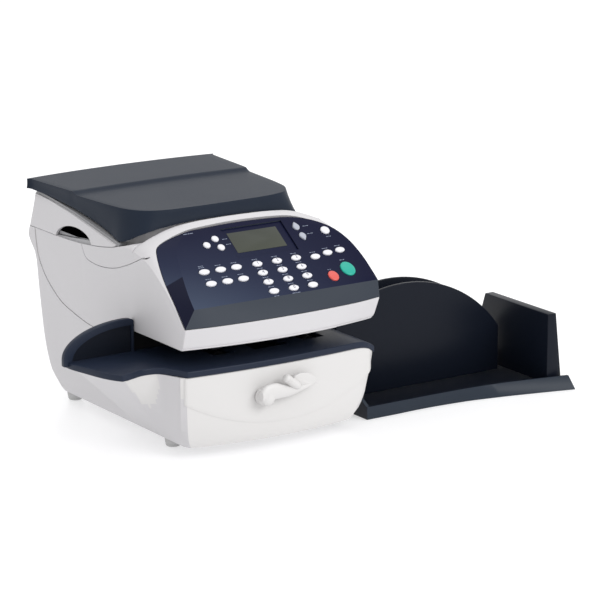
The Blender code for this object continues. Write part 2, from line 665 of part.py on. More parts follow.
# Mechanism
def build_mechanism():
    """Print frame, carriage, rollers, motor, boards and the power inlet."""
    frame = box("print_frame", (14, 150, 112), (234, 158, 196), "inner_black")
    join(frame, box("frame_foot", (14, 150, 108), (234, 240, 113)))
    join(frame, box("frame_back", (120, 296, 108), (234, 302, 196)))
    join(frame, box("frame_link", (120, 236, 108), (234, 302, 113)))
    join(frame, box("frame_side", (8.8, 150, 150), (12.4, 290, 200.9)))
    join(frame, box("frame_elbow", (10, 150.5, 152), (16, 157.5, 194)))
    for name, at in (("feed", FEED_ROLLER), ("exit", EXIT_ROLLER)):
        cut(frame, prism(f"{name}_bearing", circle(at.x, at.z, 4.4, 16), "y", 140, 170))
    cut(frame, prism("rod_seat", circle(CARRIAGE_ROD_AT.x, CARRIAGE_ROD_AT.z, 4.35, 16), "y", 140, 320))
    cut(frame, box("head_window", (112, 140, 119), (190, 170, 190)))

    turned("carriage_rod", [(4.0, 0), (4.0, 272)], (CARRIAGE_ROD_AT.x, 32, CARRIAGE_ROD_AT.z), (0, 1, 0), "steel", 16)

    carriage = box("print_carriage", (116, 190, 132), (160, 240, 172), "inner_black")
    join(carriage, box("carriage_nose", (121, 196, 124.2), (155, 234, 136)))
    join(carriage, box("carriage_arm", (150, 198, 160), (184, 232, 172.5)))
    join(carriage, box("carriage_bush", (164, 198, 165), (180, 232, 186)))
    cut(carriage, prism("carriage_bore", circle(CARRIAGE_ROD_AT.x, CARRIAGE_ROD_AT.z, 4.35, 16), "y", 180, 250))
    cut(carriage, box("cartridge_bay", (121, 195, 150), (155, 235, 180)))
    box("ink_cartridge", (121.6, 195.6, 150.6), (154.4, 234.4, 184), "cartridge_grey")

    station = box("purge_station", (114, 190, 113.4), (162, 262, 119), "inner_black")
    join(station, box("purge_cap", (122, 200, 118), (154, 246, 121)))

    for name, at in (("feed", FEED_ROLLER), ("exit", EXIT_ROLLER)):
        profile = [(10, 0), (ROLLER_RADIUS, 1), (ROLLER_RADIUS, 31), (10, 32), (4.1, 32.2), (4.1, 116)]
        turned(f"{name}_roller", profile, (at.x, 56, at.z), (0, 1, 0), "rubber", 20)

    carrier = box("idler_carrier", (66, 46, 62), (210, 86, 68), "inner_black")
    for x in (FEED_ROLLER.x, EXIT_ROLLER.x):
        join(carrier, box(f"idler_post_{x:.0f}", (x - 10, 50, 66), (x + 10, 82, 90)))
        join(carrier, prism(f"idler_drum_{x:.0f}", circle(x, 90, 10.5, 16), "y", 54, 78))
    join(carrier, box("idler_stem", (106, 46, 46), (118, 60, 64)))

    motor = turned("drive_motor", [(19, 0), (19, 44), (3, 44.2), (3, 56)], (56, 200, 88), (0, 1, 0), "steel", 18)
    join(motor, turned("motor_pulley", [(7, 0), (7, 8)], (56, 248, 88), (0, 1, 0), "steel", 16))

    box("main_board", (20, 120, 22), (160, 270, 24), "board_green")
    inlet = box("power_inlet", (176.6, 292, 30.6), (203.4, 308, 51.4), "inner_black")
    cut(inlet, box("inlet_mouth", (180, 297, 34), (200, 320, 48)))


def seat_on_axis(name, point):
    """Puts an object's origin on its joint's axis and leaves its shape where it is."""
    piece = bpy.data.objects[name]
    piece.data.transform(Matrix.Translation(-place(point)))
    piece.location = place(point)


def seat_moving_pieces():
    carriage_seat = (CARRIAGE_ROD_AT.x, 215, CARRIAGE_ROD_AT.z)
    seats = {
        "top_cover": HINGE_AT, "load_cell": HINGE_AT, "scale_platform": SCALE_AT, "scale_spider": SCALE_AT,
        "jam_release_lever": LEVER_AXIS, "idler_carrier": (144, 66, 62), "feed_roller": FEED_ROLLER,
        "exit_roller": EXIT_ROLLER, "print_carriage": carriage_seat, "ink_cartridge": (138, 215, 150.6),
    }
    for name in ("tray_base", "tray_guide", "tray_end_wall"):
        seats[name] = (TRAY_LEFT, 80, 3)
    for name, x, up, _, _ in key_table():
        seats[name] = on_panel(x, up)
    for name, point in seats.items():
        seat_on_axis(name, point)


def main():
    for existing in list(bpy.data.objects):
        bpy.data.objects.remove(existing, do_unlink=True)
    build_base()
    build_front_cover()
    build_lever()
    build_deck()
    build_console()
    build_panel()
    build_platform()
    build_top_cover()
    build_tray()
    build_mechanism()
    seat_moving_pieces()


main()
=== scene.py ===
import math

import bpy
from mathutils import Matrix, Vector


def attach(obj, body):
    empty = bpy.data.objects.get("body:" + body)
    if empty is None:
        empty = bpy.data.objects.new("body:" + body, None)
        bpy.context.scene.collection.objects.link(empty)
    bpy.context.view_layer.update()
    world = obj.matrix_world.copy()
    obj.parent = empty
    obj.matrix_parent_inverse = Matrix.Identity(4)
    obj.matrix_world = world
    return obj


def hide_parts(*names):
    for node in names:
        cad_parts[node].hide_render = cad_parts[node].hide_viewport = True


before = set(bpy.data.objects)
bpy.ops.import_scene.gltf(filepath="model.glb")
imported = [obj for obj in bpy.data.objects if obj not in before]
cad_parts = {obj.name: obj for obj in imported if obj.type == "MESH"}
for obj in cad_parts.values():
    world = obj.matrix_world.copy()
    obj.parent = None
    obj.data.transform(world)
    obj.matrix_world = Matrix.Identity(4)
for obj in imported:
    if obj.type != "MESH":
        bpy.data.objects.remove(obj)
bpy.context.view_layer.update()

# Working frame: millimetres from the body's front left corner on the table.
home = {"x": 220.5, "y": 161.5}
mm = 0.001


def at(x, y, z):
    return Vector(((x - home["x"]) * mm, (y - home["y"]) * mm, z * mm))


def lerp(a, b, t):
    return a + (b - a) * t


def straight(table, place):
    # reads a table of (place, value) pairs along straight lines
    if place <= table[0][0]:
        return table[0][1]
    for (a, va), (b, vb) in zip(table, table[1:]):
        if place <= b:
            return lerp(va, vb, (place - a) / (b - a))
    return table[-1][1]


def smooth(table, place):
    # reads the same kind of table along a curve that never overshoots
    if place <= table[0][0]:
        return table[0][1]
    if place >= table[-1][0]:
        return table[-1][1]
    slopes = [(vb - va) / (b - a) for (a, va), (b, vb) in zip(table, table[1:])]
    tangents = [slopes[0]]
    for before, after in zip(slopes, slopes[1:]):
        tangents.append(0 if before * after <= 0 else 2 * before * after / (before + after))
    tangents.append(slopes[-1])
    for i, ((a, va), (b, vb)) in enumerate(zip(table, table[1:])):
        if place <= b:
            h = b - a
            t = (place - a) / h
            return (va * (2 * t**3 - 3 * t**2 + 1) + vb * (3 * t**2 - 2 * t**3)
                    + h * tangents[i] * (t**3 - 2 * t**2 + t) + h * tangents[i + 1] * (t**3 - t**2))
    return table[-1][1]


def through(points, steps, closed=False):
    # a Catmull-Rom curve through the points, with that many steps in each stretch
    points = [Vector(p) for p in points]
    count = len(points)
    stretches = count if closed else count - 1
    made = []
    for i in range(stretches):
        pick = (lambda k: points[k % count]) if closed else (lambda k: points[min(max(k, 0), count - 1)])
        p0, p1, p2, p3 = pick(i - 1), pick(i), pick(i + 1), pick(i + 2)
        for k in range(steps):
            t = k / steps
            made.append(0.5 * (2 * p1 + (p2 - p0) * t + (2 * p0 - 5 * p1 + 4 * p2 - p3) * t * t
                               + (3 * p1 - p0 - 3 * p2 + p3) * t**3))
    if not closed:
        made.append(points[-1])
    return made


def span(low, high, steps):
    return [lerp(low, high, i / steps) for i in range(steps + 1)]


# Mesh helpers

def deselect():
    bpy.ops.object.select_all(action="DESELECT")


def inEdit(piece, *steps):
    # runs edit-mode steps on one piece, each with everything selected
    deselect()
    bpy.context.view_layer.objects.active = piece
    piece.select_set(True)
    bpy.ops.object.mode_set(mode="EDIT")
    for step in steps:
        bpy.ops.mesh.select_all(action="SELECT")
        step()
    bpy.ops.object.mode_set(mode="OBJECT")


def apply(piece, kind, **settings):
    # adds one modifier and applies it
    deselect()
    bpy.context.view_layer.objects.active = piece
    piece.select_set(True)
    modifier = piece.modifiers.new(kind.title(), kind)
    for key, value in settings.items():
        setattr(modifier, key, value)
    bpy.ops.object.modifier_apply(modifier=modifier.name)
    return piece


def bevelled(piece, width, segments=3, angle=35):
    return apply(piece, "BEVEL", width=width * mm, segments=segments, limit_method="ANGLE",
                 angle_limit=math.radians(angle), harden_normals=False, use_clamp_overlap=True)


def cutWith(piece, *cutters):
    for cutter in cutters:
        apply(piece, "BOOLEAN", operation="DIFFERENCE", solver="EXACT", object=cutter)
        bpy.data.objects.remove(cutter, do_unlink=True)
    return piece


def joinWith(piece, *others):
    for other in others:
        apply(piece, "BOOLEAN", operation="UNION", solver="EXACT", object=other)
        bpy.data.objects.remove(other, do_unlink=True)
    return piece


def outwards():
    bpy.ops.mesh.normals_make_consistent(inside=False)


def wrapped(name, rings):
    # a grid rolled into a tube ring by ring, with its seam merged and its ends filled
    deselect()
    columns, rows = len(rings[0]), len(rings)
    bpy.ops.mesh.primitive_grid_add(x_subdivisions=columns, y_subdivisions=rows - 1)
    piece = bpy.context.object
    piece.name = name
    for i, vert in enumerate(piece.data.vertices):
        ring = rings[i // (columns + 1)]
        vert.co = ring[(i % (columns + 1)) % columns]
    inEdit(piece, lambda: bpy.ops.mesh.remove_doubles(threshold=1e-6),
           lambda: bpy.ops.mesh.fill_holes(sides=0), outwards)
    return piece


def slab(name, outline, axis, low, high):
    # a filled outline, extruded along the axis it doesn't use
    deselect()
    spread = {
        "x": lambda a, b, c: at(c, a, b),
        "y": lambda a, b, c: at(a, c, b),
        "z": lambda a, b, c: at(a, b, c),
    }[axis]
    bpy.ops.mesh.primitive_circle_add(vertices=len(outline), fill_type="NGON")
    piece = bpy.context.object
    piece.name = name
    for vert, point in zip(piece.data.vertices, outline):
        vert.co = spread(point[0], point[1], low)
    reach = spread(0, 0, high) - spread(0, 0, low)
    inEdit(piece, lambda: bpy.ops.mesh.extrude_region_move(TRANSFORM_OT_translate={"value": reach}),
           outwards)
    return piece


def block(name, low, high):
    (x0, y0, z0), (x1, y1, z1) = low, high
    return slab(name, [(x0, y0), (x1, y0), (x1, y1), (x0, y1)], "z", z0, z1)


def turned(name, profile, base, direction, steps=48):
    # rings of (radius, height) pairs along a direction
    turn = Vector((0, 0, 1)).rotation_difference(Vector(direction).normalized()).to_matrix()
    rings = []
    for radius, height in profile:
        ring = []
        for i in range(steps):
            a = 2 * math.pi * i / steps
            spoke = Vector((radius * math.cos(a), radius * math.sin(a), height))
            ring.append(at(*(Vector(base) + turn @ spoke)))
        rings.append(ring)
    return wrapped(name, rings)


def finish(piece, body, nodes, material, angle=32):
    # smooth shading, material, and what the piece rides on and stands for
    deselect()
    bpy.context.view_layer.objects.active = piece
    piece.select_set(True)
    bpy.ops.object.shade_smooth_by_angle(angle=math.radians(angle))
    piece.data.materials.clear()
    piece.data.materials.append(material)
    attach(piece, body)
    if nodes:
        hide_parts(*nodes)
    return piece


def tint(piece, material, chosen):
    # paints the chosen faces of a finished piece in a second material
    piece.data.materials.append(material)
    for poly in piece.data.polygons:
        if chosen(poly):
            poly.material_index = len(piece.data.materials) - 1


# Materials

class Value:
    # wraps a socket so that sums on it become Math nodes
    def __init__(self, paint, socket):
        self.paint, self.socket = paint, socket

    def sum(self, operation, first, second):
        return self.paint.node("ShaderNodeMath", {"operation": operation}, first, second)

    def __add__(self, other): return self.sum("ADD", self, other)
    def __radd__(self, other): return self.sum("ADD", other, self)
    def __sub__(self, other): return self.sum("SUBTRACT", self, other)
    def __rsub__(self, other): return self.sum("SUBTRACT", other, self)
    def __mul__(self, other): return self.sum("MULTIPLY", self, other)
    def __rmul__(self, other): return self.sum("MULTIPLY", other, self)


class Paint:
    # one procedural material on object coordinates
    def __init__(self, name, roughness, metallic=0.0, **constants):
        self.material = bpy.data.materials.new(name)
        self.material.use_nodes = True
        self.tree = self.material.node_tree
        self.shader = self.tree.nodes["Principled BSDF"]
        self.shader.inputs["Roughness"].default_value = roughness
        self.shader.inputs["Metallic"].default_value = metallic
        for key, value in constants.items():
            self.shader.inputs[key].default_value = value
        self.where = self.node("ShaderNodeTexCoord", {}, out="Object")

    def node(self, kind, settings, *values, out=0, **named):
        made = self.tree.nodes.new(kind)
        for key, value in settings.items():
            if key == "stops":
                for stop, (place, colour) in zip(self.stopsOf(made, len(value)), value):
                    stop.position, stop.color = place, (*colour, 1)
            else:
                setattr(made, key, value)
        for key, value in [*enumerate(values), *named.items()]:
            self.feed(made.inputs[key], value)
        return Value(self, made.outputs[out])

    def stopsOf(self, ramp, count):
        elements = ramp.color_ramp.elements
        while len(elements) < count:
            elements.new(0.5)
        return elements

    def feed(self, socket, value):
        if isinstance(value, Value):
            self.tree.links.new(value.socket, socket)
        elif value is not None:
            socket.default_value = value

    def noise(self, scale, detail=3.0, rough=0.5):
        return self.node("ShaderNodeTexNoise", {}, Vector=self.where, Scale=scale, Detail=detail,
                         Roughness=rough)

    def ramp(self, value, *stops):
        return self.node("ShaderNodeValToRGB", {"stops": stops}, value)

    def mix(self, factor, first, second):
        made = self.tree.nodes.new("ShaderNodeMix")
        made.data_type = "RGBA"
        self.feed(made.inputs[0], factor)
        self.feed(made.inputs[6], first)
        self.feed(made.inputs[7], second)
        return Value(self, made.outputs[2])

    def axis(self, index):
        split = self.tree.nodes.new("ShaderNodeSeparateXYZ")
        self.feed(split.inputs[0], self.where)
        return Value(self, split.outputs[index])

    def colour(self, value): self.feed(self.shader.inputs["Base Color"], value)
    def roughness(self, value): self.feed(self.shader.inputs["Roughness"], value)

    def bump(self, height, distance, strength=1.0):
        node = self.node("ShaderNodeBump", {}, Strength=strength, Distance=distance, Height=height,
                         out="Normal")
        self.feed(self.shader.inputs["Normal"], node)


def shade(colour, factor):
    return (*[min(1, c * factor) for c in colour], 1)


def mouldedPlastic(name, colour, rough=0.42, grain=0.00004, mottling=0.03, grainScale=1400, **constants):
    # injection-moulded plastic: spark-eroded grain, faint flow mottling and handling marks
    paint = Paint(name, rough, **constants)
    flow = paint.noise(9, 4, 0.55)
    fine = paint.noise(grainScale, 2, 0.6)
    rubbed = paint.noise(60, 5, 0.7)
    paint.colour(paint.mix(flow, shade(colour, 1 - mottling), shade(colour, 1 + mottling)))
    paint.roughness(rough - 0.05 + rubbed * 0.1 + fine * 0.05)
    paint.bump(fine, grain)
    return paint.material


def navyPlastic(name, colour, rough=0.36, grain=0.00005, sheen=0.2):
    # dark satin plastic, with dust in its grain and slightly polished patches
    paint = Paint(name, rough, **{"Specular IOR Level": sheen})
    flow = paint.noise(7, 3)
    fine = paint.noise(1300, 2, 0.6)
    dust = paint.ramp(paint.noise(2600, 2, 0.7), (0.62, (0, 0, 0)), (0.80, (1, 1, 1)))
    body = paint.mix(flow, shade(colour, 0.92), shade(colour, 1.1))
    paint.colour(paint.mix(dust * 0.06, body, (0.35, 0.37, 0.42, 1)))
    paint.roughness(rough - 0.04 + flow * 0.08 + fine * 0.05)
    paint.bump(fine, grain)
    return paint.material


def panelPaintedReflection():
    # panel film with a painted reflection: lighter slate towards the near left corner, fading to ink blue
    paint = Paint("panelPaintedReflection", 0.34, **{"Specular IOR Level": 0.07})
    across = (0.03 - paint.axis(0)) * 4.35
    down = (0.235 - paint.axis(2)) * 15.2
    paintedReflectionRamp = paint.ramp(across * down, (0.0, (0.0045, 0.0055, 0.024)), (0.45, (0.016, 0.021, 0.047)),
                      (1.0, (0.042, 0.056, 0.092)))
    paint.colour(paintedReflectionRamp)
    paint.roughness(0.30 + paint.noise(1300, 2) * 0.08)
    paint.bump(paint.noise(1300, 2, 0.6), 0.00002)
    return paint.material


def metalPaint(name, colour, rough, brushed=(1, 60, 1)):
    # ground or zinc-plated metal, with its lay stretched along one axis
    paint = Paint(name, rough, 1.0)
    mapping = paint.node("ShaderNodeMapping", {}, Vector=paint.where, Scale=brushed, out="Vector")
    lay = paint.node("ShaderNodeTexNoise", {}, Vector=mapping, Scale=60, Detail=4)
    paint.colour(paint.mix(lay, shade(colour, 0.85), shade(colour, 1.1)))
    paint.roughness(rough - 0.08 + lay * 0.16)
    paint.bump(lay, 0.00003)
    return paint.material


def rubberPaint(name, colour):
    paint = Paint(name, 0.8)
    fine = paint.noise(900, 4, 0.7)
    scuffs = paint.ramp(paint.noise(120, 5, 0.6), (0.55, (0, 0, 0)), (0.75, (1, 1, 1)))
    paint.colour(paint.mix(scuffs * 0.4, shade(colour, 0.9), shade(colour, 1.6)))
    paint.roughness(0.72 + fine * 0.2)
    paint.bump(fine, 0.0001)
    return paint.material


def screenPaint():
    # unlit grey-olive liquid crystal with its faint row of cells, and a painted reflection that is lighter at
    # the bottom and darker at the top
    paint = Paint("screenGlass", 0.22, **{"Specular IOR Level": 0.15})
    across = paint.axis(0)
    up = paint.axis(2)
    # painted reflection: lighter towards the bottom of the screen
    paintedReflectionRamp = paint.ramp((up - 0.205) * 28, (0.0, (0.060, 0.065, 0.052)), (1.0, (0.030, 0.034, 0.030)))
    cells = paint.node("ShaderNodeTexChecker", {}, Vector=paint.where, Scale=2600, out="Fac")
    paint.colour(paint.mix(cells * 0.12, paintedReflectionRamp, (0.05, 0.055, 0.045, 1)))
    paint.roughness(0.16 + paint.noise(40, 3) * 0.06 + across * 0.05)
    return paint.material


def boardPaint():
    # green solder mask with tinned tracks
    paint = Paint("boardMask", 0.4)
    tracks = paint.node("ShaderNodeTexBrick", {}, Vector=paint.where, Scale=180, out="Fac")
    speck = paint.noise(500, 3)
    paint.colour(paint.mix(tracks, (0.02, 0.16, 0.07, 1), (0.35, 0.33, 0.2, 1)))
    paint.roughness(0.35 + speck * 0.15)
    paint.bump(tracks, 0.0001)
    return paint.material


paints = {
    "shell": mouldedPlastic("shellGrey", (0.55, 0.54, 0.555), 0.46, mottling=0.012),
    # the shell's grey plastic painted lighter for parts facing the front: painted light
    "front": mouldedPlastic("shellLitFront", (0.60, 0.59, 0.585), 0.40, mottling=0.01),
    "navy": navyPlastic("navySatin", (0.011, 0.017, 0.034)),
    "tray": navyPlastic("trayNavy", (0.005, 0.007, 0.013), 0.32, sheen=0.13),
    # lighter copy of the tray navy for its front faces: painted light
    "lip": navyPlastic("trayLitFront", (0.014, 0.021, 0.033), 0.34),
    "platform": navyPlastic("platformNavy", (0.010, 0.016, 0.029), 0.42, 0.00009, 0.14),
    # the panel face carries a painted reflection gradient
    "panel": panelPaintedReflection(),
    # darker copy of the panel navy for the left chamfer: painted shade
    "flank": navyPlastic("flankPaintedShade", (0.006, 0.007, 0.020), 0.34, 0.00002, 0.08),
    # lighter slate copy of the panel navy for the front bevel: painted light
    "bevel": navyPlastic("bevelPaintedLight", (0.036, 0.043, 0.056), 0.36, 0.00002, 0.1),
    "keyWhite": mouldedPlastic("pearlKey", (0.68, 0.68, 0.72), 0.25, 0.00001, 0.03,
                               **{"Coat Weight": 0.3}),
    "keyGrey": mouldedPlastic("arrowGrey", (0.36, 0.38, 0.44), 0.3, 0.00001),
    "keyRed": mouldedPlastic("stopCoral", (0.60, 0.085, 0.07), 0.3, 0.00001),
    "keyGreen": mouldedPlastic("startGreen", (0.0, 0.33, 0.25), 0.3, 0.00001),
    "print": mouldedPlastic("palePrint", (0.20, 0.23, 0.31), 0.5, 0.00001),
    "digit": mouldedPlastic("darkPrint", (0.03, 0.03, 0.05), 0.5, 0.00001),
    # darker grey standing for the shell grey in hollows: painted shade
    "recess": mouldedPlastic("recessPaintedShade", (0.27, 0.27, 0.28), 0.5),
    # mid grey standing for the shell grey inside the grip: painted shade
    "ledge": mouldedPlastic("ledgePaintedShade", (0.34, 0.34, 0.35), 0.5),
    # black for dark inner parts, also used for sheets of painted shade
    "black": mouldedPlastic("innerBlackAndShade", (0.004, 0.004, 0.005), 0.6, 0.0001, 0.2,
                            **{"Specular IOR Level": 0.12}),
    "cartridge": mouldedPlastic("cartridgeGrey", (0.12, 0.13, 0.15), 0.4),
    "steel": metalPaint("groundSteel", (0.55, 0.56, 0.58), 0.3),
    "zinc": metalPaint("zincPlate", (0.58, 0.58, 0.56), 0.38, (8, 8, 8)),
    "alloy": metalPaint("milledAlloy", (0.70, 0.70, 0.71), 0.35, (1, 40, 1)),
    "rubber": rubberPaint("rollerRubber", (0.03, 0.03, 0.035)),
    "foot": rubberPaint("footRubber", (0.50, 0.50, 0.50)),
    "screen": screenPaint(),
    "board": boardPaint(),
}
print("materials made")

# Shared curves of the shells

shell = {
    "mid": 125,
    "left": [(12, 6), (20, 2.2), (40, 0), (200, 0), (244, 1)],
    "right": [(12, 226), (16, 231), (24, 237.5), (49, 246), (78, 254), (94, 256), (124, 251), (200, 250),
              (244, 247)],
    "front": [(12, 5), (20, 2), (40, 0), (94, 0)],
    "frontBow": [(12, 18), (94, 8)],
    "back": [(12, 292), (22, 299), (34, 311), (69, 326), (127, 337), (166, 343), (189, 360), (200, 356),
             (237, 346), (250, 344)],
    "wing": [(-2, 3), (-3, 8), (-11.5, 29), (-21, 34.4), (-33, 34.5), (-46, 30.5), (-58, 27), (-66, 38),
             (-71, 56), (-75, 80), (-77.5, 99), (-79, 108)],
    "seam": [(117, 107.2), (160, 107.4), (206, 108.7), (230, 112), (255, 117), (277, 123.4), (300, 136.6),
             (318, 152), (330, 172), (335, 199.8)],
    "split": [(116, 221.5), (128, 217.8), (158, 210.3), (194, 205), (240, 201), (285, 200), (334.6, 200)],
}


def acrossBow(x):
    t = min(max((x - shell["mid"]) / shell["mid"], -1), 1)
    return 1 - t * t


def frontY(x, z):
    return smooth(shell["front"], z) - straight(shell["frontBow"], z) * acrossBow(x)


def smile(x):
    # height of the front cover's curved lower edge
    return 30 + 33 * abs((x - shell["mid"]) / shell["mid"]) ** 2.2


def corner(cx, cy, radius, start, end, steps):
    angles = [math.radians(a) for a in span(start, end, steps)]
    return [(cx + radius * math.cos(a), cy + radius * math.sin(a)) for a in angles]


def bodyRing(z):
    # plan outline of the lower housing at one height, from the front left corner round
    left, right, back = (smooth(shell[key], z) for key in ("left", "right", "back"))
    front = smooth(shell["front"], z)
    ring = []
    for x in span(left + 4, right - 10, 28):
        ring.append((x, frontY(x, z)))
    turnRound = straight([(12, 14), (40, 9), (94, 8)], z)
    edge = frontY(right - 10, z)
    ring += corner(right - turnRound * 0.6, edge + turnRound, turnRound * 0.6, -70, 0, 6)
    ring += [(right, y) for y in span(front + 30, back - 40, 8)]
    ring += corner(right - 13, back - 13, 13, 10, 90, 6)
    ring += [(x, back + 1.2 * math.sin(math.pi * i / 10))
             for i, x in enumerate(span(right - 24, left + 24, 10))]
    ring += corner(left + 13, back - 13, 13, 90, 180, 6)
    ring += [(left, y) for y in span(back - 30, 132, 10)]
    flare = max(0.0, min(1.0, (z - 16) / 78)) ** 1.15 if z <= 94.01 else 0.0
    wing = through(shell["wing"], 3)
    for i, point in enumerate(reversed(wing)):
        even = lerp(118, front + 6, i / (len(wing) - 1))
        ring.append((left + flare * point[0], lerp(even, point[1], flare)))
    return [at(x, y, z) for x, y in ring]


def buildBase():
    heights = [12, 12.6, 14, 17, 22, *span(28, 88, 10), 93.8, 94.4, *span(104, 180, 8), 186, 189, 193, 199.6]
    base = wrapped("lowerHousing", [bodyRing(z) for z in heights])
    seam = [(s[0], s[1]) for s in through(shell["seam"], 4)]
    above = [(-80, 93.6), (116.6, 93.6), (116.6, 107.2), *seam, (335, 260), (-80, 260)]
    droop = [(232, 93.3), (240, 92.2), (246, 90.2), (252, 86.2), (262, 77), (262, 110), (232, 110)]
    cutWith(base, slab("aboveSeam", above, "x", -140, 320), slab("droopCut", droop, "y", -40, 118))
    cutWith(base, block("inletPocket", (176, 295, 30), (204, 362, 52)))
    finish(base, "machine", ["base_housing"], paints["shell"])
    # faces turned to the front get the lighter copy of the shell grey: painted light
    tint(base, paints["front"], lambda poly: poly.normal.y < -0.75)

    cover = {"left": 1.4, "thick": 6.0, "proud": 0.9}
    rings = []
    for x in [1.4, 1.8, 2.6, *span(5, 240, 46), 243, 246, 249, 251]:
        top = straight([(232, 93.2), (240, 91.8), (246, 89.4), (251, 86.4)], x) - 0.2
        low = smile(x) + 0.5
        tuck = 2.2 * max(0, 1 - (x - cover["left"]) / 1.6) ** 2 + 3.6 * max(0, (x - 244) / 7) ** 2
        outer = []
        for z in span(low, top, 14):
            soft = 0.5 * max(0, 1 - (z - low) / 1.2)
            outer.append((x, frontY(x, z) - cover["proud"] + tuck + soft, z))
        inner = [(x, y + cover["thick"], z) for x, y, z in reversed(outer)]
        rings.append([at(*p) for p in outer + inner])
    # the front cover is in the lighter copy of the shell grey: painted light
    finish(wrapped("frontCover", rings), "machine", ["front_cover"], paints["front"], 50)


def buildFeet():
    for side, x in (("left", 19), ("right", 213)):
        for end, y in (("front", 56), ("rear", 280)):
            profile = [(6.6, 0), (7.6, 0.4), (8.6, 2.2), (8.2, 3.0), (8.8, 4.0), (9.4, 8.0), (9.5, 11.4),
                       (6.0, 11.6), (6.0, 12.7)]
            foot = turned(f"foot_{end}_{side}_rubber", profile, (x, y, 0), (0, 0, 1), 40)
            finish(foot, "machine", [f"foot_{end}_{side}"], paints["foot"])


deck = {"top": 101.0, "thick": 7.4, "back": 116.0, "edge": 1.8,
        "droop": [(226, 0), (234, 0.5), (240, 1.7), (246, 4.0), (251, 6.8), (256, 10.5)]}


def buildDeck():
    wing = through([(-85, 110), (-84.5, 100), (-80, 78), (-75, 55), (-69, 38), (-61.5, 25.5)], 4)
    inner = [(-61.5, 25.5), (-46, 29.2), (-33, 33.6), (-22, 33.4), (-12, 29), (-4, 15), (1.5, 2.5)]
    inner = through(inner, 4)
    front = [(x, frontY(x, 94) - 1.8 + 4.0 * max(0, (x - 236) / 20) ** 2) for x in span(4, 256, 40)]
    outline = [(p[0], p[1]) for p in wing[:-1] + inner] + front
    outline += [(256, deck["back"]), (-85, deck["back"])]
    plate = slab("feedDeck", outline, "z", deck["top"] - deck["thick"], deck["top"])
    for x in (224, 229, 234, 238, 242, 246, 249, 252, 254.5):
        cutLine = {"plane_co": at(x, 0, 0), "plane_no": (1, 0, 0)}
        inEdit(plate, lambda: bpy.ops.mesh.bisect(**cutLine))
    for vert in plate.data.vertices:
        vert.co.z -= smooth(deck["droop"], vert.co.x / mm + home["x"]) * mm
    bevelled(plate, deck["edge"], 4, 50)
    arch = [(-90, 96)]
    arch += [(-12 - 78 * math.sin(a), 104 + 36 * math.cos(a)) for a in span(math.pi / 2, 0, 20)]
    arch += [(-8, 139.8), (-4, 139.2), (-0.4, 137.2), (-0.4, 96)]
    wall = bevelled(slab("registrationWall", arch, "y", 104.5, 112.0), 1.2, 3, 30)
    recess = [(-80, 101.2)]
    recess += [(-12 - 68 * math.sin(a), 101.2 + 31 * math.cos(a)) for a in span(math.pi / 2, 0, 16)]
    recess += [(-4, 132.2), (-4, 101.2)]
    cutWith(wall, slab("wallRecess", recess, "y", 100, 106.3))
    for name, x in (("feed", 78), ("exit", 198)):
        cutWith(plate, block(f"{name} slot", (x - 14, 40, 80), (x + 14, 92, 110)))
    cutWith(plate, block("print slot", (116, 36, 80), (160, 92, 110)))
    finish(plate, "machine", ["feed_deck"], paints["navy"], 40)
    # a black sheet under the deck's slots: painted shade showing through them
    finish(block("slotShadeSheet", (64, 33, 93.8), (213, 94, 94.6)), "machine", [], paints["black"])
    finish(wall, "machine", ["feed_deck"], paints["navy"], 40)
    # the recessed face of the wall is painted in the darker tray navy: painted shade
    shadedRecessY = at(0, 106.3, 0).y
    tint(wall, paints["tray"], lambda poly: abs(poly.center.y - shadedRecessY) < 0.1 * mm)
    # a black wall behind the deck under the console: painted shade in the gap
    back = cutWith(block("pathShadeWall", (-1, 110, 96), (250, 116, 123.4)),
                   block("feed shaft", (72, 100, 111), (84, 130, 130)),
                   block("exit shaft", (192, 100, 111), (204, 130, 130)))
    finish(back, "machine", ["feed_deck"], paints["black"])


# Console

panel = {"tilt": math.radians(35), "start": Vector((0, -4, 167))}
panel["up"] = Vector((0, math.cos(panel["tilt"]), math.sin(panel["tilt"])))
panel["out"] = Vector((0, -math.sin(panel["tilt"]), math.cos(panel["tilt"])))

console = {
    "mid": 129,
    "taper": [(124, 8.5), (128, 3.5), (149, 0)],
    "depths": (0, 17, 46, 74, 92, 103),
    "skin": [
        (0.5, (152, 170, 192, 208, 213.5, 215.5)),
        (6, (158, 174, 196, 213, 219, 221)),
        (13, (167, 178.7, 197.7, 216, 222.5, 224.5)),
        (27, (169.8, 181.7, 202, 218.5, 227, 230)),
        (45, (169.8, 181.7, 202, 221.6, 231, 235.5)),
        (62, (169.8, 181.7, 202, 221.6, 233.5, 238.5)),
        (90, (169.8, 181.7, 202, 221.6, 234.2, 240.5)),
        (125, (169.8, 181.7, 202, 221.6, 234.2, 241)),
        (160, (169.8, 181.7, 202, 221.6, 234.2, 240.5)),
        (195, (169.8, 181.7, 202, 221.6, 233.6, 238.5)),
        (212, (169.8, 181.7, 202, 221.6, 231.5, 235.5)),
        (228, (169.8, 181.7, 202, 221, 227.5, 230)),
        (243, (169.8, 181.7, 202, 217.5, 222, 224)),
        (252, (169.8, 181.7, 201, 212, 217, 219)),
        (257.5, (167, 179, 198, 207, 212.5, 214.5)),
    ],
}


def onPanel(x, up, out=0.0):
    return Vector((x, 0, 0)) + panel["start"] + panel["up"] * up + panel["out"] * out


def consoleBow(x):
    # 1 at the middle of the console's front and 0 at its ends
    t = (x - console["mid"]) / console["mid"]
    return 1 - t * t


def consoleFront(x):
    # how far forward the front strip's lower and upper edges reach
    bow = consoleBow(x)
    return 2.6 - 15.2 * bow, -4.3 - 9.8 * bow


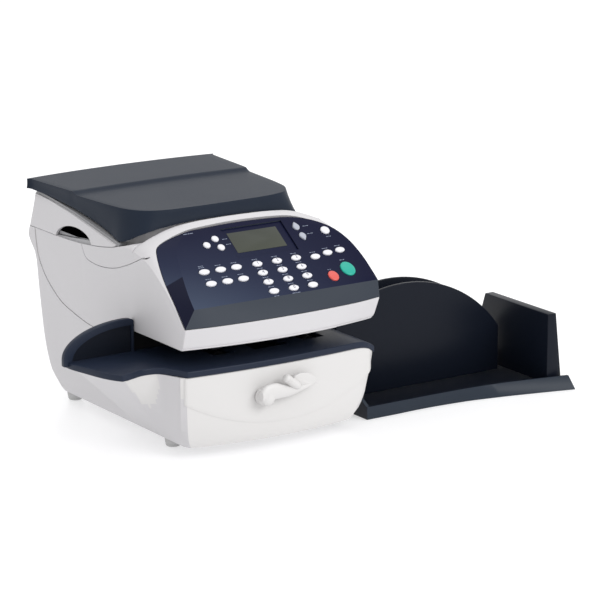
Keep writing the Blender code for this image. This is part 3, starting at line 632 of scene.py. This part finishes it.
def consoleSection(x):
    columns = [smooth([(s, skin[k]) for s, skin in console["skin"]], x) for k in range(6)]
    depthTable = list(zip(console["depths"], columns))
    lowY, highY = consoleFront(x)
    low, high = (lowY, 124.0), (highY, 148.9)
    section = [(low[0] + 1.2, low[1]), (low[0], low[1] + 1.0)]
    section += [(lerp(low[0], high[0], t), lerp(low[1] + 1.0, high[1], t)) for t in (0.25, 0.5, 0.75, 1)]
    section += [(y, smooth(depthTable, y)) for y in span(0, 103, 26)]
    crown = columns[-1]
    section += [(104.8, crown - 0.2), (106.4, crown - 0.9), (107.3, crown - 2.0)]
    places = (108, 112, 116, 122, *span(128, 334.4, 18))
    section += [(y, min(smooth(shell["split"], y) - 0.3, crown + 2.0)) for y in places]
    seam = through(shell["seam"], 3)
    section += [(p[0] - 0.7, p[1] + 0.5) for p in reversed(seam[:-1])]
    section += [(117, 124.0)]
    return section


def consoleTaper(x, z):
    return straight(console["taper"], z) if x > 200 else 0


def consoleX(x, y, z):
    back = min(max((y - 100) / 40, 0), 1)
    return x - consoleTaper(x, z) - max(0, x - 200) / 58 * 7.5 * back


def groove(path, width, low, high):
    # a thin ribbon that follows a line on the side wall, for cutting a seam
    rise, fall = [], []
    for i, point in enumerate(path):
        ahead, behind = path[min(i + 1, len(path) - 1)], path[max(i - 1, 0)]
        way = (Vector(ahead) - Vector(behind)).normalized()
        side = Vector((-way.y, way.x)) * width / 2
        rise.append(Vector(point) + side)
        fall.append(Vector(point) - side)
    return slab("groove", [(p.x, p.y) for p in rise + list(reversed(fall))], "x", low, high)


def buildConsole():
    stations = [0.5, 1.2, 2.4, 4, 6, 9, 13, 18, 23, *span(28, 230, 30), 236, 242, 247, 252, 255, 257.5]
    rings = [[at(consoleX(x, y, z), y, z) for y, z in consoleSection(x)] for x in stations]
    housing = wrapped("consoleHousing", rings)
    bevelled(housing, 1.3, 3, 50)
    cutWith(housing, bezelSolid("bezelSeat", True))
    scoop = [(224, 203), (221, 197), (214, 188), (200, 184.5), (180, 184), (160, 186), (141, 190), (115, 199),
             (92, 209), (78, 215.5)]
    scoop = [(p[0], p[1]) for p in through(scoop, 4)]
    cutWith(housing, groove(scoop, 0.8, -5, 2.4))
    slit = [(86, 211), (78, 214.4), (72, 218.6), (73, 216.0), (79, 211.6)]
    cutWith(housing, slab("slit", slit, "x", -5, 6))
    cutWith(housing, block("coverMouth", (8.5, 120, 130), (238, 321, 262)))
    finish(housing, "machine", ["console_housing"], paints["shell"], 30)
    strip = []
    lip = [(124.9, 0), (126.3, 0), (126.4, 0.6), (127.1, 0.6), (127.2, 0)]
    for x in [0.9, 1.4, 2.4, *span(4, 254, 48), 256, 257.2]:
        low, high = consoleFront(x)
        section = []
        for z, sunk in [*lip, *[(z, 0) for z in span(130, 148.7, 7)]]:
            section.append((lerp(low, high, (z - 124) / 24.9) - 0.55 + sunk, z))
        section += [(high + 3, 148.7), (low + 5, 124.9)]
        strip.append([at(x - consoleTaper(x, z), y, z) for y, z in section])
    strip = bevelled(wrapped("frontStrip", strip), 0.4, 2, 50)
    finish(strip, "machine", [], paints["shell"], 30)


bezel = {
    "left": [((1, -4.2, 149.6), (15, 4)), ((1.6, 17, 171.8), (18.5, 26.6)), ((4.5, 46, 195), (26.5, 61)),
             ((13, 74.5, 215.5), (35, 88)), ((25, 87, 224.2), (47, 104))],
    "arch": [(62, 114.5), (85, 116.5), (115, 118), (147, 118), (188, 116), (211, 111), (230, 101.5),
             (245, 87.5),
             (254.5, 67), (258.4, 42), (258.7, 20)],
    "window": ((103.5, 65.5), (184.5, 65.5), (184.5, 112), (103.5, 112)),
    "screen": ((109, 75.0), (174.5, 75.0), (174.5, 105.5), (109, 105.5)),
}


def bezelLoops():
    outer, crest = [], []
    for x in (259.0, 225, 192, 160, 125, 92, 60, 30):
        outer.append(Vector((x, consoleFront(x)[1], 149.4)))
        crest.append(onPanel(min(max(x, 20), 258.2), 4))
    outer[0].y += 1.0
    frontCount = len(outer)
    for edge, (x, up) in bezel["left"]:
        outer.append(Vector(edge))
        crest.append(onPanel(x, up))
    for x, up in bezel["arch"]:
        crest.append(onPanel(x, up))
        lean = (x - 125) / 130
        spread = 2.4 * lean * (1 - 0.75 * max(0, lean) ** 4)
        outer.append(onPanel(x + spread, up + 3.2 * (1 - abs(lean) ** 3), -3.0))
    dense = []
    for loop in (outer, crest):
        front = through(loop[: frontCount + 1], 3)
        rest = through(loop[frontCount:] + loop[:1], 4)
        dense.append(front[:-1] + rest[:-1])
    return dense


def bezelSolid(name, seat):
    outer, crest = bezelLoops()
    centre = sum(crest, Vector()) / len(crest)
    inward, sink, depth = (1.0, 4.4, 5.6) if seat else (4.2, 0.8, 2.6)
    underEdge = [p + (centre - p).normalized() * inward - panel["out"] * sink for p in outer]
    underCrest = [p + (centre - p) * 0.03 - panel["out"] * depth for p in crest]
    if seat:
        edge = [p - (centre - p).normalized() * 0.7 for p in outer]
        lifted = [p - (centre - p).normalized() * 1.5 + panel["out"] * 12 for p in outer]
        rings = [underCrest, underEdge, edge, lifted]
    else:
        rings = [underCrest, underEdge, outer, crest]
    return wrapped(name, [[at(*p) for p in ring] for ring in rings])


keySizes = {"digit": (6.4, 3.9), "menu": (6.8, 3.9), "option": (6.2, 3.8), "select": (4.4, 4.4),
            "home": (5.6, 5.6),
            "arrow": (4.4, 6.0), "stop": (6.4, 7.4), "start": (8.8, 10.4)}


def keyPlan():
    # name, across, up, kind, record slot, paint
    plan = []
    names = ("1", "2", "3", "4", "5", "6", "7", "8", "9", "clear", "0", "point")
    for i, label in enumerate(names):
        across, up = (122.6, 148.7, 174.2)[i % 3], (53.8, 40.0, 26.0, 11.8)[i // 3]
        plan.append((f"key_{label}", across, up, "digit", "key_white", "keyWhite"))
    for row, up in enumerate((54.0, 36.2)):
        for column, x in enumerate((53.2, 74.4, 95.1)):
            plan.append((f"key_menu_{row * 3 + column + 1}", x, up, "menu", "key_white", "keyWhite"))
    for i, (x, up) in enumerate(((198.9, 51.1), (217.1, 54.0), (234.5, 55.2))):
        plan.append((f"key_option_{i + 1}", x, up, "option", "key_white", "keyWhite"))
    for i, (x, up) in enumerate(((90.0, 98.7), (75.6, 91.5), (91.3, 85.3))):
        plan.append((f"key_select_{i + 1}", x, up, "select", "key_white", "keyWhite"))
    plan.append(("key_home", 231.7, 87.1, "home", "key_white", "keyWhite"))
    plan.append(("key_scroll_up", 198.3, 99.5, "arrow", "key_grey", "keyGrey"))
    plan.append(("key_scroll_down", 199.5, 83.0, "arrow", "key_grey", "keyGrey"))
    plan.append(("key_stop", 206.2, 19.5, "stop", "key_red", "keyRed"))
    plan.append(("key_start", 229.5, 26.5, "start", "key_green", "keyGreen"))
    return plan


def panelMatrix(x, up, out=0.0):
    # maps flat shapes in metres onto the panel at one place
    matrix = Matrix((Vector((1, 0, 0)), panel["up"], panel["out"])).transposed().to_4x4()
    matrix.translation = at(*onPanel(x, up, out))
    return matrix


def arrowTaper(name, v):
    if "scroll_up" in name:
        return lerp(1.0, 0.30, max(0, (v + 0.2) / 1.2) ** 1.3)
    if "scroll_down" in name:
        return lerp(1.0, 0.30, max(0, (0.2 - v) / 1.2) ** 1.3)
    return 1.0


def keyCap(name, x, up, half):
    # a sphere squared off into a low pillow that runs down through its hole
    deselect()
    bpy.ops.mesh.primitive_uv_sphere_add(segments=36, ring_count=18, radius=1)
    cap = bpy.context.object
    cap.name = name.replace("key_", "cap_")
    for vert in cap.data.vertices:
        u, v, w = vert.co
        flat = math.copysign(abs(w) ** 0.55, w)
        depth = flat * (2.3 if w > 0 else 5.5)
        vert.co = (u * half[0] * arrowTaper(name, v) * mm, v * half[1] * mm, depth * mm)
    cap.data.transform(panelMatrix(x, up, -0.2))
    return cap


def keyHole(name, x, up, half):
    deselect()
    bpy.ops.mesh.primitive_cylinder_add(vertices=36, radius=1, depth=2)
    hole = bpy.context.object
    for vert in hole.data.vertices:
        u, v, w = vert.co
        grow = 0.5
        vert.co = (u * (half[0] + grow) * arrowTaper(name, v) * mm, v * (half[1] + grow) * mm, w * 8 * mm)
    hole.data.transform(panelMatrix(x, up))
    return hole


def digitOn(name, x, up):
    label = name[-1]
    deselect()
    bpy.ops.object.text_add()
    text = bpy.context.object
    text.data.body = label
    text.data.size = 5.4 * mm
    text.data.align_x, text.data.align_y = "CENTER", "CENTER"
    text.data.extrude = 0.06 * mm
    text.data.resolution_u = 3
    bpy.ops.object.convert(target="MESH")
    text = bpy.context.object
    text.name = f"digit_{label}"
    text.data.transform(panelMatrix(x, up, 2.06))
    return text


def dashes(plan):
    # rows of short pale bars that stand for the printed legends
    bars = []
    for x, up, width in plan:
        run = 0.0
        for share in (0.42, 0.23, 0.35):
            bars.append((x - width / 2 + run, up, width * share - 0.7))
            run += width * share
    made = []
    for x, up, width in bars:
        deselect()
        bpy.ops.mesh.primitive_cube_add(size=1)
        bar = bpy.context.object
        bar.data.transform(Matrix.Diagonal((width * mm, 0.8 * mm, 0.10 * mm, 1)))
        bar.data.transform(panelMatrix(x + width / 2, up, 0.03))
        made.append(bar)
    deselect()
    for bar in made:
        bar.select_set(True)
    bpy.context.view_layer.objects.active = made[0]
    bpy.ops.object.join()
    made[0].name = "panelLegends"
    return made[0]


def buildPanel():
    face = bezelSolid("controlBezel", False)
    bevelled(face, 0.6, 3, 15)
    pocket = [at(*onPanel(x, up, out)) for out in (-1.9, 4) for x, up in bezel["window"]]
    cutWith(face, wrapped("windowCut", [pocket[:4], pocket[4:]]))
    plan = keyPlan()
    for name, x, up, kind, slotName, paintName in plan:
        cutWith(face, keyHole(name, x, up, keySizes[kind]))
    finish(face, "machine", ["control_bezel"], paints["panel"], 12)
    # faces of the bezel turned to the left get painted shade
    tint(face, paints["flank"], lambda poly: poly.normal.x < -0.3)
    # faces of the bezel turned to the front get painted light
    tint(face, paints["bevel"], lambda poly: poly.normal.y < -0.7)
    for name, x, up, kind, slotName, paintName in plan:
        finish(keyCap(name, x, up, keySizes[kind]), name, [name], paints[paintName], 60)
        if name[-1].isdigit() and kind == "digit":
            finish(digitOn(name, x, up), name, [], paints["digit"], 30)
    marked = ("menu", "digit", "option")
    legends = [(x, up + 7.0, 8.0) for name, x, up, kind, s, p in plan if kind in marked]
    legends += [(53.2, 63.2, 7), (102, 96.6, 7), (103, 88.5, 7), (211, 98, 8), (211, 86, 8),
                (231.7, 77.5, 7),
                (206.2, 29.6, 5), (229.5, 40.5, 7), (122.6, 4.6, 7), (148.7, 4.6, 11), (62, 112.0, 13)]
    finish(dashes(legends), "machine", [], paints["print"], 30)

    edges = ((104, 66), (184, 66), (184, 111.5), (104, 111.5))
    frameRing = [at(*onPanel(x, up, out)) for out in (-2.6, -1.95) for x, up in edges]
    bed = wrapped("displayBed", [frameRing[:4], frameRing[4:]])
    finish(bevelled(bed, 0.2, 2), "machine", ["lcd_module"], paints["black"])
    screenRing = [at(*onPanel(x, up, out)) for out in (-2.2, -1.5) for x, up in bezel["screen"]]
    screen = wrapped("displayScreen", [screenRing[:4], screenRing[4:]])
    finish(bevelled(screen, 0.3, 2), "machine", ["lcd_window"], paints["screen"])
    print("panel built")


# Top cover and scale

platform = {
    "mid": 122.5,
    "half": [
        ((122.5, 350.0, 247.5), (122.5, 349.5)), ((60.0, 348.0, 247.3), (60.0, 347.4)),
        ((-1.0, 342.0, 246.5), (-1.0, 341.0)),
        ((-2.0, 336.0, 246.0), (-2.0, 335.0)), ((2.0, 300.0, 243.5), (0.5, 300.0)),
        ((5.0, 262.0, 239.5), (3.2, 262.0)),
        ((6.0, 252.0, 238.2), (4.2, 252.0)), ((6.8, 240.0, 236.3), (5.4, 240.0)),
        ((8.5, 205.0, 230.3), (8.2, 205.0)),
        ((8.0, 172.0, 224.0), (11.5, 172.0)), ((6.0, 142.0, 219.0), (17.0, 145.0)),
        ((18.0, 121.0, 228.5), (31.0, 125.0)),
        ((42.0, 115.0, 234.8), (54.0, 117.0)), ((80.0, 112.5, 238.9), (88.0, 115.0)),
        ((122.5, 112.0, 239.8), (122.5, 114.4)),
    ],
    "low": 254.6, "high": 258.0, "skin": 2.6,
}


def platformTop(x, y):
    # raised shelf at the back, with a soft bowed step down to the pan
    line = 246 + 5.5 * (1 - ((x - platform["mid"]) / 122) ** 2)
    t = min(max((y - line + 6) / 10, 0), 1)
    return lerp(platform["low"], platform["high"], t * t * (3 - 2 * t))


def buildPlatform():
    lower = through([p[0] for p in platform["half"]], 4)
    upper = through([(p[1][0], p[1][1], 0) for p in platform["half"]], 4)
    rows, columns = len(lower), 24
    mid, skin = platform["mid"], platform["skin"]
    grid = []
    for low, top in zip(lower, upper):
        tx, ty = min(top.x, mid), top.y
        lx, ly, lz = min(low.x, mid), low.y, low.z
        row = []
        left = [(lx + skin, ly + (1 if ly < 200 else -1) * 0.6, lz + 0.2), (lx, ly, lz)]
        for t in (0.25, 0.5, 0.75, 1):
            bulge = 1.2 * math.sin(math.pi * t)
            side = (lerp(lx, tx, t) + bulge * 0.5, lerp(ly, ty, t) + bulge * 0.3)
            left.append((*side, lerp(lz, platformTop(tx, ty), t)))
        row += left
        for t in span(0, 1, columns)[1:-1]:
            x = lerp(tx, 2 * mid - tx, t)
            row.append((x, ty, platformTop(x, ty)))
        row += [(2 * mid - x, y, z) for x, y, z in reversed(left)]
        under = [(lerp(tx, 2 * mid - tx, t), ty, platformTop(tx, ty) - skin) for t in (0.98, 0.5, 0.02)]
        row += under
        grid.append([at(*p) for p in row])
    pan = wrapped("scalePlatform", grid)
    bevelled(pan, 0.9, 3, 38)
    finish(pan, "platform", ["scale_platform"], paints["platform"], 28)


def coverOutline(z):
    left = smooth(shell["left"], z) + 0.2 + straight([(200, 0), (244, 2)], z)
    right = smooth(shell["right"], z) - straight([(200, 2), (244, 5)], z)
    back = smooth(shell["back"], z)
    leftTurn = [(left, 149), (left + 17, 148), (left + 25, 139), (left + 38, 130), (left + 64, 124)]
    rightTurn = [(right - 64, 124), (right - 38, 130), (right - 25, 139), (right - 17, 148), (right, 149)]
    ring = [(x, y) for x, y in through(leftTurn, 3)]
    ring += [(x, y) for x, y in through(rightTurn, 3)]
    ring += [(right, y) for y in span(180, back - 30, 3)]
    ring += corner(right - 13, back - 13, 13, 0, 90, 5) + [((left + right) / 2, back + 1)]
    ring += corner(left + 13, back - 13, 13, 90, 180, 5)
    ring += [(left, y) for y in span(back - 30, 170, 3)]
    return [at(x, y, z) for x, y in ring]


skirtLine = [(142, 216), (172, 221), (205, 227), (240, 233), (262, 236), (300, 240.5), (330, 242.6)]


def buildCover():
    cover = wrapped("topCover", [coverOutline(z) for z in (200.3, 208, 216, 224, 232, 242)])
    skirt = [(p[0], p[1]) for p in through(skirtLine, 3)]
    over = [(90, 300), (90, 213.4), *[(y, z - 2.6) for y, z in skirt], (362, 240), (362, 300)]
    cutWith(cover, slab("leftStep", over, "x", -20, 16), slab("rightStep", over, "x", 229, 300))
    cutWith(cover, block("upperHollow", (24, 152, 190), (222, 330, 238.5)))
    under = [(150, 190), *[(y + 4, z - 3.4) for y, z in skirtLine], (334, 190)]
    cutWith(cover, slab("lowerHollow", under, "x", 3.6, 240))
    split = [(y, smooth(shell["split"], y) + 0.4) for y in (116, 122, *span(128, 334, 16))]
    below = [(60, 150), (60, 227), *split, (400, 200.4), (400, 150)]
    cutWith(cover, slab("belowSplit", below, "x", -50, 300))
    bevelled(cover, 0.6, 2, 50)
    joinWith(cover, block("gripBacking", (2.6, 198, 206), (10, 288, 223)))
    grip = [(242 + 42 * math.cos(a), 200.5 + 17.5 * math.sin(a)) for a in span(0, math.pi, 24)]
    grip = [(y, z + (242 - y) * 0.045) for y, z in grip] + [(200, 190), (284, 190)]
    cutWith(cover, slab("gripRecess", grip, "x", -10, 7))
    pocket = [(199, 211.5), (210, 208.6), (227, 206.9), (250, 204.2), (285, 201.2), (287, 221), (198, 221)]
    pocket = bevelled(slab("gripPocketShade", pocket, "x", 4.6, 8.2), 0.3)
    # the grip pocket's grey is painted shade in the recess
    finish(pocket, "cover", [], paints["recess"])
    ledge = [(285, 199.4), (285, 200.6), (250, 203.5), (227, 206.2), (210, 207.9), (201, 208.6),
             (201, 203.4), (240, 200.0)]
    ledge = bevelled(slab("gripLedgeShade", ledge, "x", 2.6, 7.8), 0.3)
    # the ledge's grey is painted shade in the grip hollow
    finish(ledge, "machine", [], paints["ledge"])
    # a darker grey band under the cover's skirt: painted shade under the overhang
    band = [(150, 206), *[(y, z + 0.6) for y, z in skirt], (336, 243.1), (336, 206)]
    finish(slab("skirtShadeBandLeft", band, "x", 4.6, 15), "cover", [], paints["recess"])
    cutWith(cover, block("cellOpening", (92, 196, 230), (152, 284, 250)))
    finish(cover, "cover", ["top_cover"], paints["shell"], 30)


# Lever

lever = {
    "x": 94, "y": -9, "z": 62,
    "arm": [(85, 60, 71), (89, 58, 75.5), (96, 57.6, 77.8), (103, 59, 78), (110, 59.2, 76),
            (118, 59.2, 73), (126, 60, 71),
            (138, 62.6, 69.4), (150, 65.4, 69.6), (158, 67.4, 69.8), (162, 68.6, 69.6)],
    "fin": [(128, 69), (130, 79), (135, 82.4), (144, 83), (152, 80.5), (158, 75.5), (161, 70),
            (150, 66.5), (138, 66)],
}


def buildLever():
    hub = [(4.8, -8), (4.8, 3.4), (9.2, 3.8), (9.7, 4.6), (9.7, 6.4), (8.6, 7.1), (8.6, 8.5), (9.4, 9.1),
           (9.4, 10.9), (8.4, 11.6),
           (8.4, 13), (9.0, 13.6), (8.8, 16), (7.4, 18.6), (4.0, 20.2), (1.0, 20.5)]
    piece = turned("releaseLever", hub, (lever["x"], lever["y"], lever["z"]), (0, -1, 0), 48)
    low = [(x, a) for x, a, b in lever["arm"]]
    high = [(x, b) for x, a, b in lever["arm"]]
    rings = []
    for x in [85, 85.6, 86.8, *span(89, 158, 26), 160, 161.4, 162]:
        bottom, top, t = smooth(low, x), smooth(high, x), (x - 85) / 77
        centre = Vector((x, -25 + 5 * t * t, (bottom + top) / 2))
        tall, deep = (top - bottom) / 2, min((top - bottom) / 2, 4.6 - 2.4 * t)
        turn = span(0, 2 * math.pi, 24)[:-1]
        rings.append([at(*(centre + Vector((0, deep * math.cos(a), tall * math.sin(a))))) for a in turn])
    stub = [(2.2, -1.0), (4.0, -0.2), (4.9, 1.2), (5.1, 2.6), (4.5, 3.1), (4.5, 4.0), (5.0, 4.5),
            (5.0, 5.9), (4.5, 6.4), (4.5, 7.3),
            (5.0, 7.8), (5.0, 14), (4.6, 20), (3.4, 23), (1.2, 24.4)]
    outline = [(p.x, p.y) for p in through([(*p, 0) for p in lever["fin"]], 4, True)]
    fin = bevelled(slab("leverFin", outline, "y", -22.5, -18.5), 1.3, 3)
    arm = wrapped("leverArm", rings)
    peg = turned("leverStub", stub, (116.5, -25.5, 82.5), (0.80, 0.04, -0.60), 32)
    joinWith(piece, arm, peg, fin)
    # the lever is in the lighter copy of the shell grey: painted light
    finish(piece, "lever", ["jam_release_lever"], paints["front"], 40)


# Drop stacker

stacker = {"left": 254.5, "right": 531.0, "domeTop": 133.0, "domeMid": 355.0, "domeRadius": 173.0,
           "front": [(254.5, 15, 15), (290, 15, 15), (330, 16, 15), (385, 13, 14), (437, 4, 10),
                     (490, -9, 0), (531, -20, -9)]}


def domeHeight(x):
    rest = stacker["domeRadius"] ** 2 - (x - stacker["domeMid"]) ** 2
    return stacker["domeTop"] - stacker["domeRadius"] + math.sqrt(max(rest, 0))


def buildStacker():
    low = [(x, a) for x, a, b in stacker["front"]]
    high = [(x, b) for x, a, b in stacker["front"]]
    rings = []
    for x in [254.5, 255, 257, *span(262, 520, 34), 526, 529, 530.6, 531]:
        yLow, yTop = smooth(low, x), smooth(high, x)
        back = lerp(150, 162, (x - 254.5) / 276.5)
        section = [(yLow, 0), (back, 0), (back, 6), (yTop + 5.2, 6), (yTop + 3.6, 14.6), (yTop + 3.0, 15),
                   (yTop + 0.5, 15), (yTop, 14.6)]
        lean = max(0, x - 500) / 31 * 0.13
        rings.append([at(x - z * lean, y, z) for y, z in section])
    tray = wrapped("trayFloor", rings)
    rib = slab("trayRib", [(15.5, 0), (150, 0), (150, 60), (92, 60), (16, 14.5)], "x", 254.5, 258.5)
    joinWith(tray, rib)
    bevelled(tray, 0.5, 2, 50)
    finish(tray, "stacker", ["tray_base"], paints["tray"], 30)
    # front-facing faces of the tray get painted light
    tint(tray, paints["lip"], lambda poly: poly.normal.y < -0.5)

    for name, y0, y1 in (("frontDome", 85.5, 90.5), ("rearDome", 115, 119)):
        outline = [(x, domeHeight(x)) for x in span(258.8, 495, 48)] + [(495, 6.4), (258.8, 6.4)]
        dome = bevelled(slab(name, outline, "y", y0, y1), 1.1, 3, 40)
        finish(dome, "stacker", ["tray_guide"], paints["tray"], 30)
    web = block("domeWeb", (259, 90, 6.4), (494.5, 116, 12))
    finish(web, "stacker", ["tray_guide"], paints["tray"], 30)

    rings = []
    foot = ((504.8, 6.4), (526.5, 6.4), (517.5, 91), (505.5, 91))
    for y, top in ((2.0, 2.0), (60, 60), (158, 127)):
        rings.append([at(x, y + (top - y) * (z - 6.4) / 84.6, z) for x, z in foot])
    end = bevelled(wrapped("endWall", rings), 0.9, 3, 40)
    finish(end, "stacker", ["tray_end_wall"], paints["tray"], 30)


# Carried-over mechanism

carried = {
    "base_plate": "zinc", "print_frame": "black", "carriage_rod": "steel", "purge_station": "black",
    "drive_motor": "steel", "main_board": "board", "power_inlet": "black", "load_cell": "alloy",
    "scale_spider": "black", "idler_carrier": "black", "feed_roller": "rubber", "exit_roller": "rubber",
    "print_carriage": "black", "ink_cartridge": "cartridge",
}


def paintMechanism():
    for node, paintName in carried.items():
        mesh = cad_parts[node].data
        mesh.materials.clear()
        mesh.materials.append(paints[paintName])


# Floor, light and camera

studio = {
    "lens": 180, "where": (-1620.7, -2710.7, 994.6), "azimuth": math.radians(-33.2),
    "elevation": math.radians(14.44), "roll": math.radians(-0.3),
    # name, place, target, size, power
    "lamps": [("key", (0.7, -2.2, 1.5), (0.0, 0.0, 0.1), 1.2, 26),
              ("sky", (0.2, 0.2, 2.4), (0.0, 0.0, 0.1), 2.0, 9)],
}


def aim(thing, target):
    way = Vector(target) - Vector(thing.location)
    thing.rotation_euler = way.to_track_quat("-Z", "Y").to_euler()


def buildStudio():
    deselect()
    bpy.ops.mesh.primitive_plane_add(size=14, location=(0, 0, 0))
    floor = bpy.context.object
    floor.name = "studioFloor"
    floor.data.transform(Matrix.Translation((0, 0, -0.0004)))
    paint = Paint("studioFloor", 0.32, **{"Emission Color": (1, 1, 1, 1), "Emission Strength": 0.5})
    paint.colour(paint.mix(paint.noise(3, 2), (0.48, 0.48, 0.49, 1), (0.52, 0.52, 0.525, 1)))
    floor.data.materials.append(paint.material)
    world = bpy.data.worlds.new("studioWorld")
    world.use_nodes = True
    world.node_tree.nodes["Background"].inputs[0].default_value = (1.0, 1.0, 1.0, 1)
    world.node_tree.nodes["Background"].inputs[1].default_value = 1.0
    bpy.context.scene.world = world
    for name, place, target, size, power in studio["lamps"]:
        light = bpy.data.lights.new(name, "AREA")
        light.shape, light.size, light.energy = "SQUARE", size, power
        lamp = bpy.data.objects.new(name, light)
        lamp.location = place
        aim(lamp, target)
        bpy.context.scene.collection.objects.link(lamp)
    bpy.context.scene.view_settings.view_transform = "Standard"
    lens = bpy.data.cameras.new("camera")
    lens.lens, lens.sensor_width, lens.clip_end = studio["lens"], 36, 50
    camera = bpy.data.objects.new("camera", lens)
    az, el, roll = studio["azimuth"], studio["elevation"], studio["roll"]
    forward = Vector((-math.sin(az) * math.cos(el), math.cos(az) * math.cos(el), -math.sin(el)))
    right = Vector((math.cos(az), math.sin(az), 0))
    up = right.cross(forward)
    sideways = right * math.cos(roll) + up * math.sin(roll)
    upright = up * math.cos(roll) - right * math.sin(roll)
    matrix = Matrix((sideways, upright, -forward)).transposed().to_4x4()
    matrix.translation = at(*studio["where"])
    camera.matrix_world = matrix
    bpy.context.scene.collection.objects.link(camera)
    bpy.context.scene.camera = camera


buildBase()
buildFeet()
print("base built")
buildDeck()
buildConsole()
print("console built")
buildPanel()
buildPlatform()
buildCover()
buildLever()
buildStacker()
paintMechanism()
print("stacker built")
buildStudio()
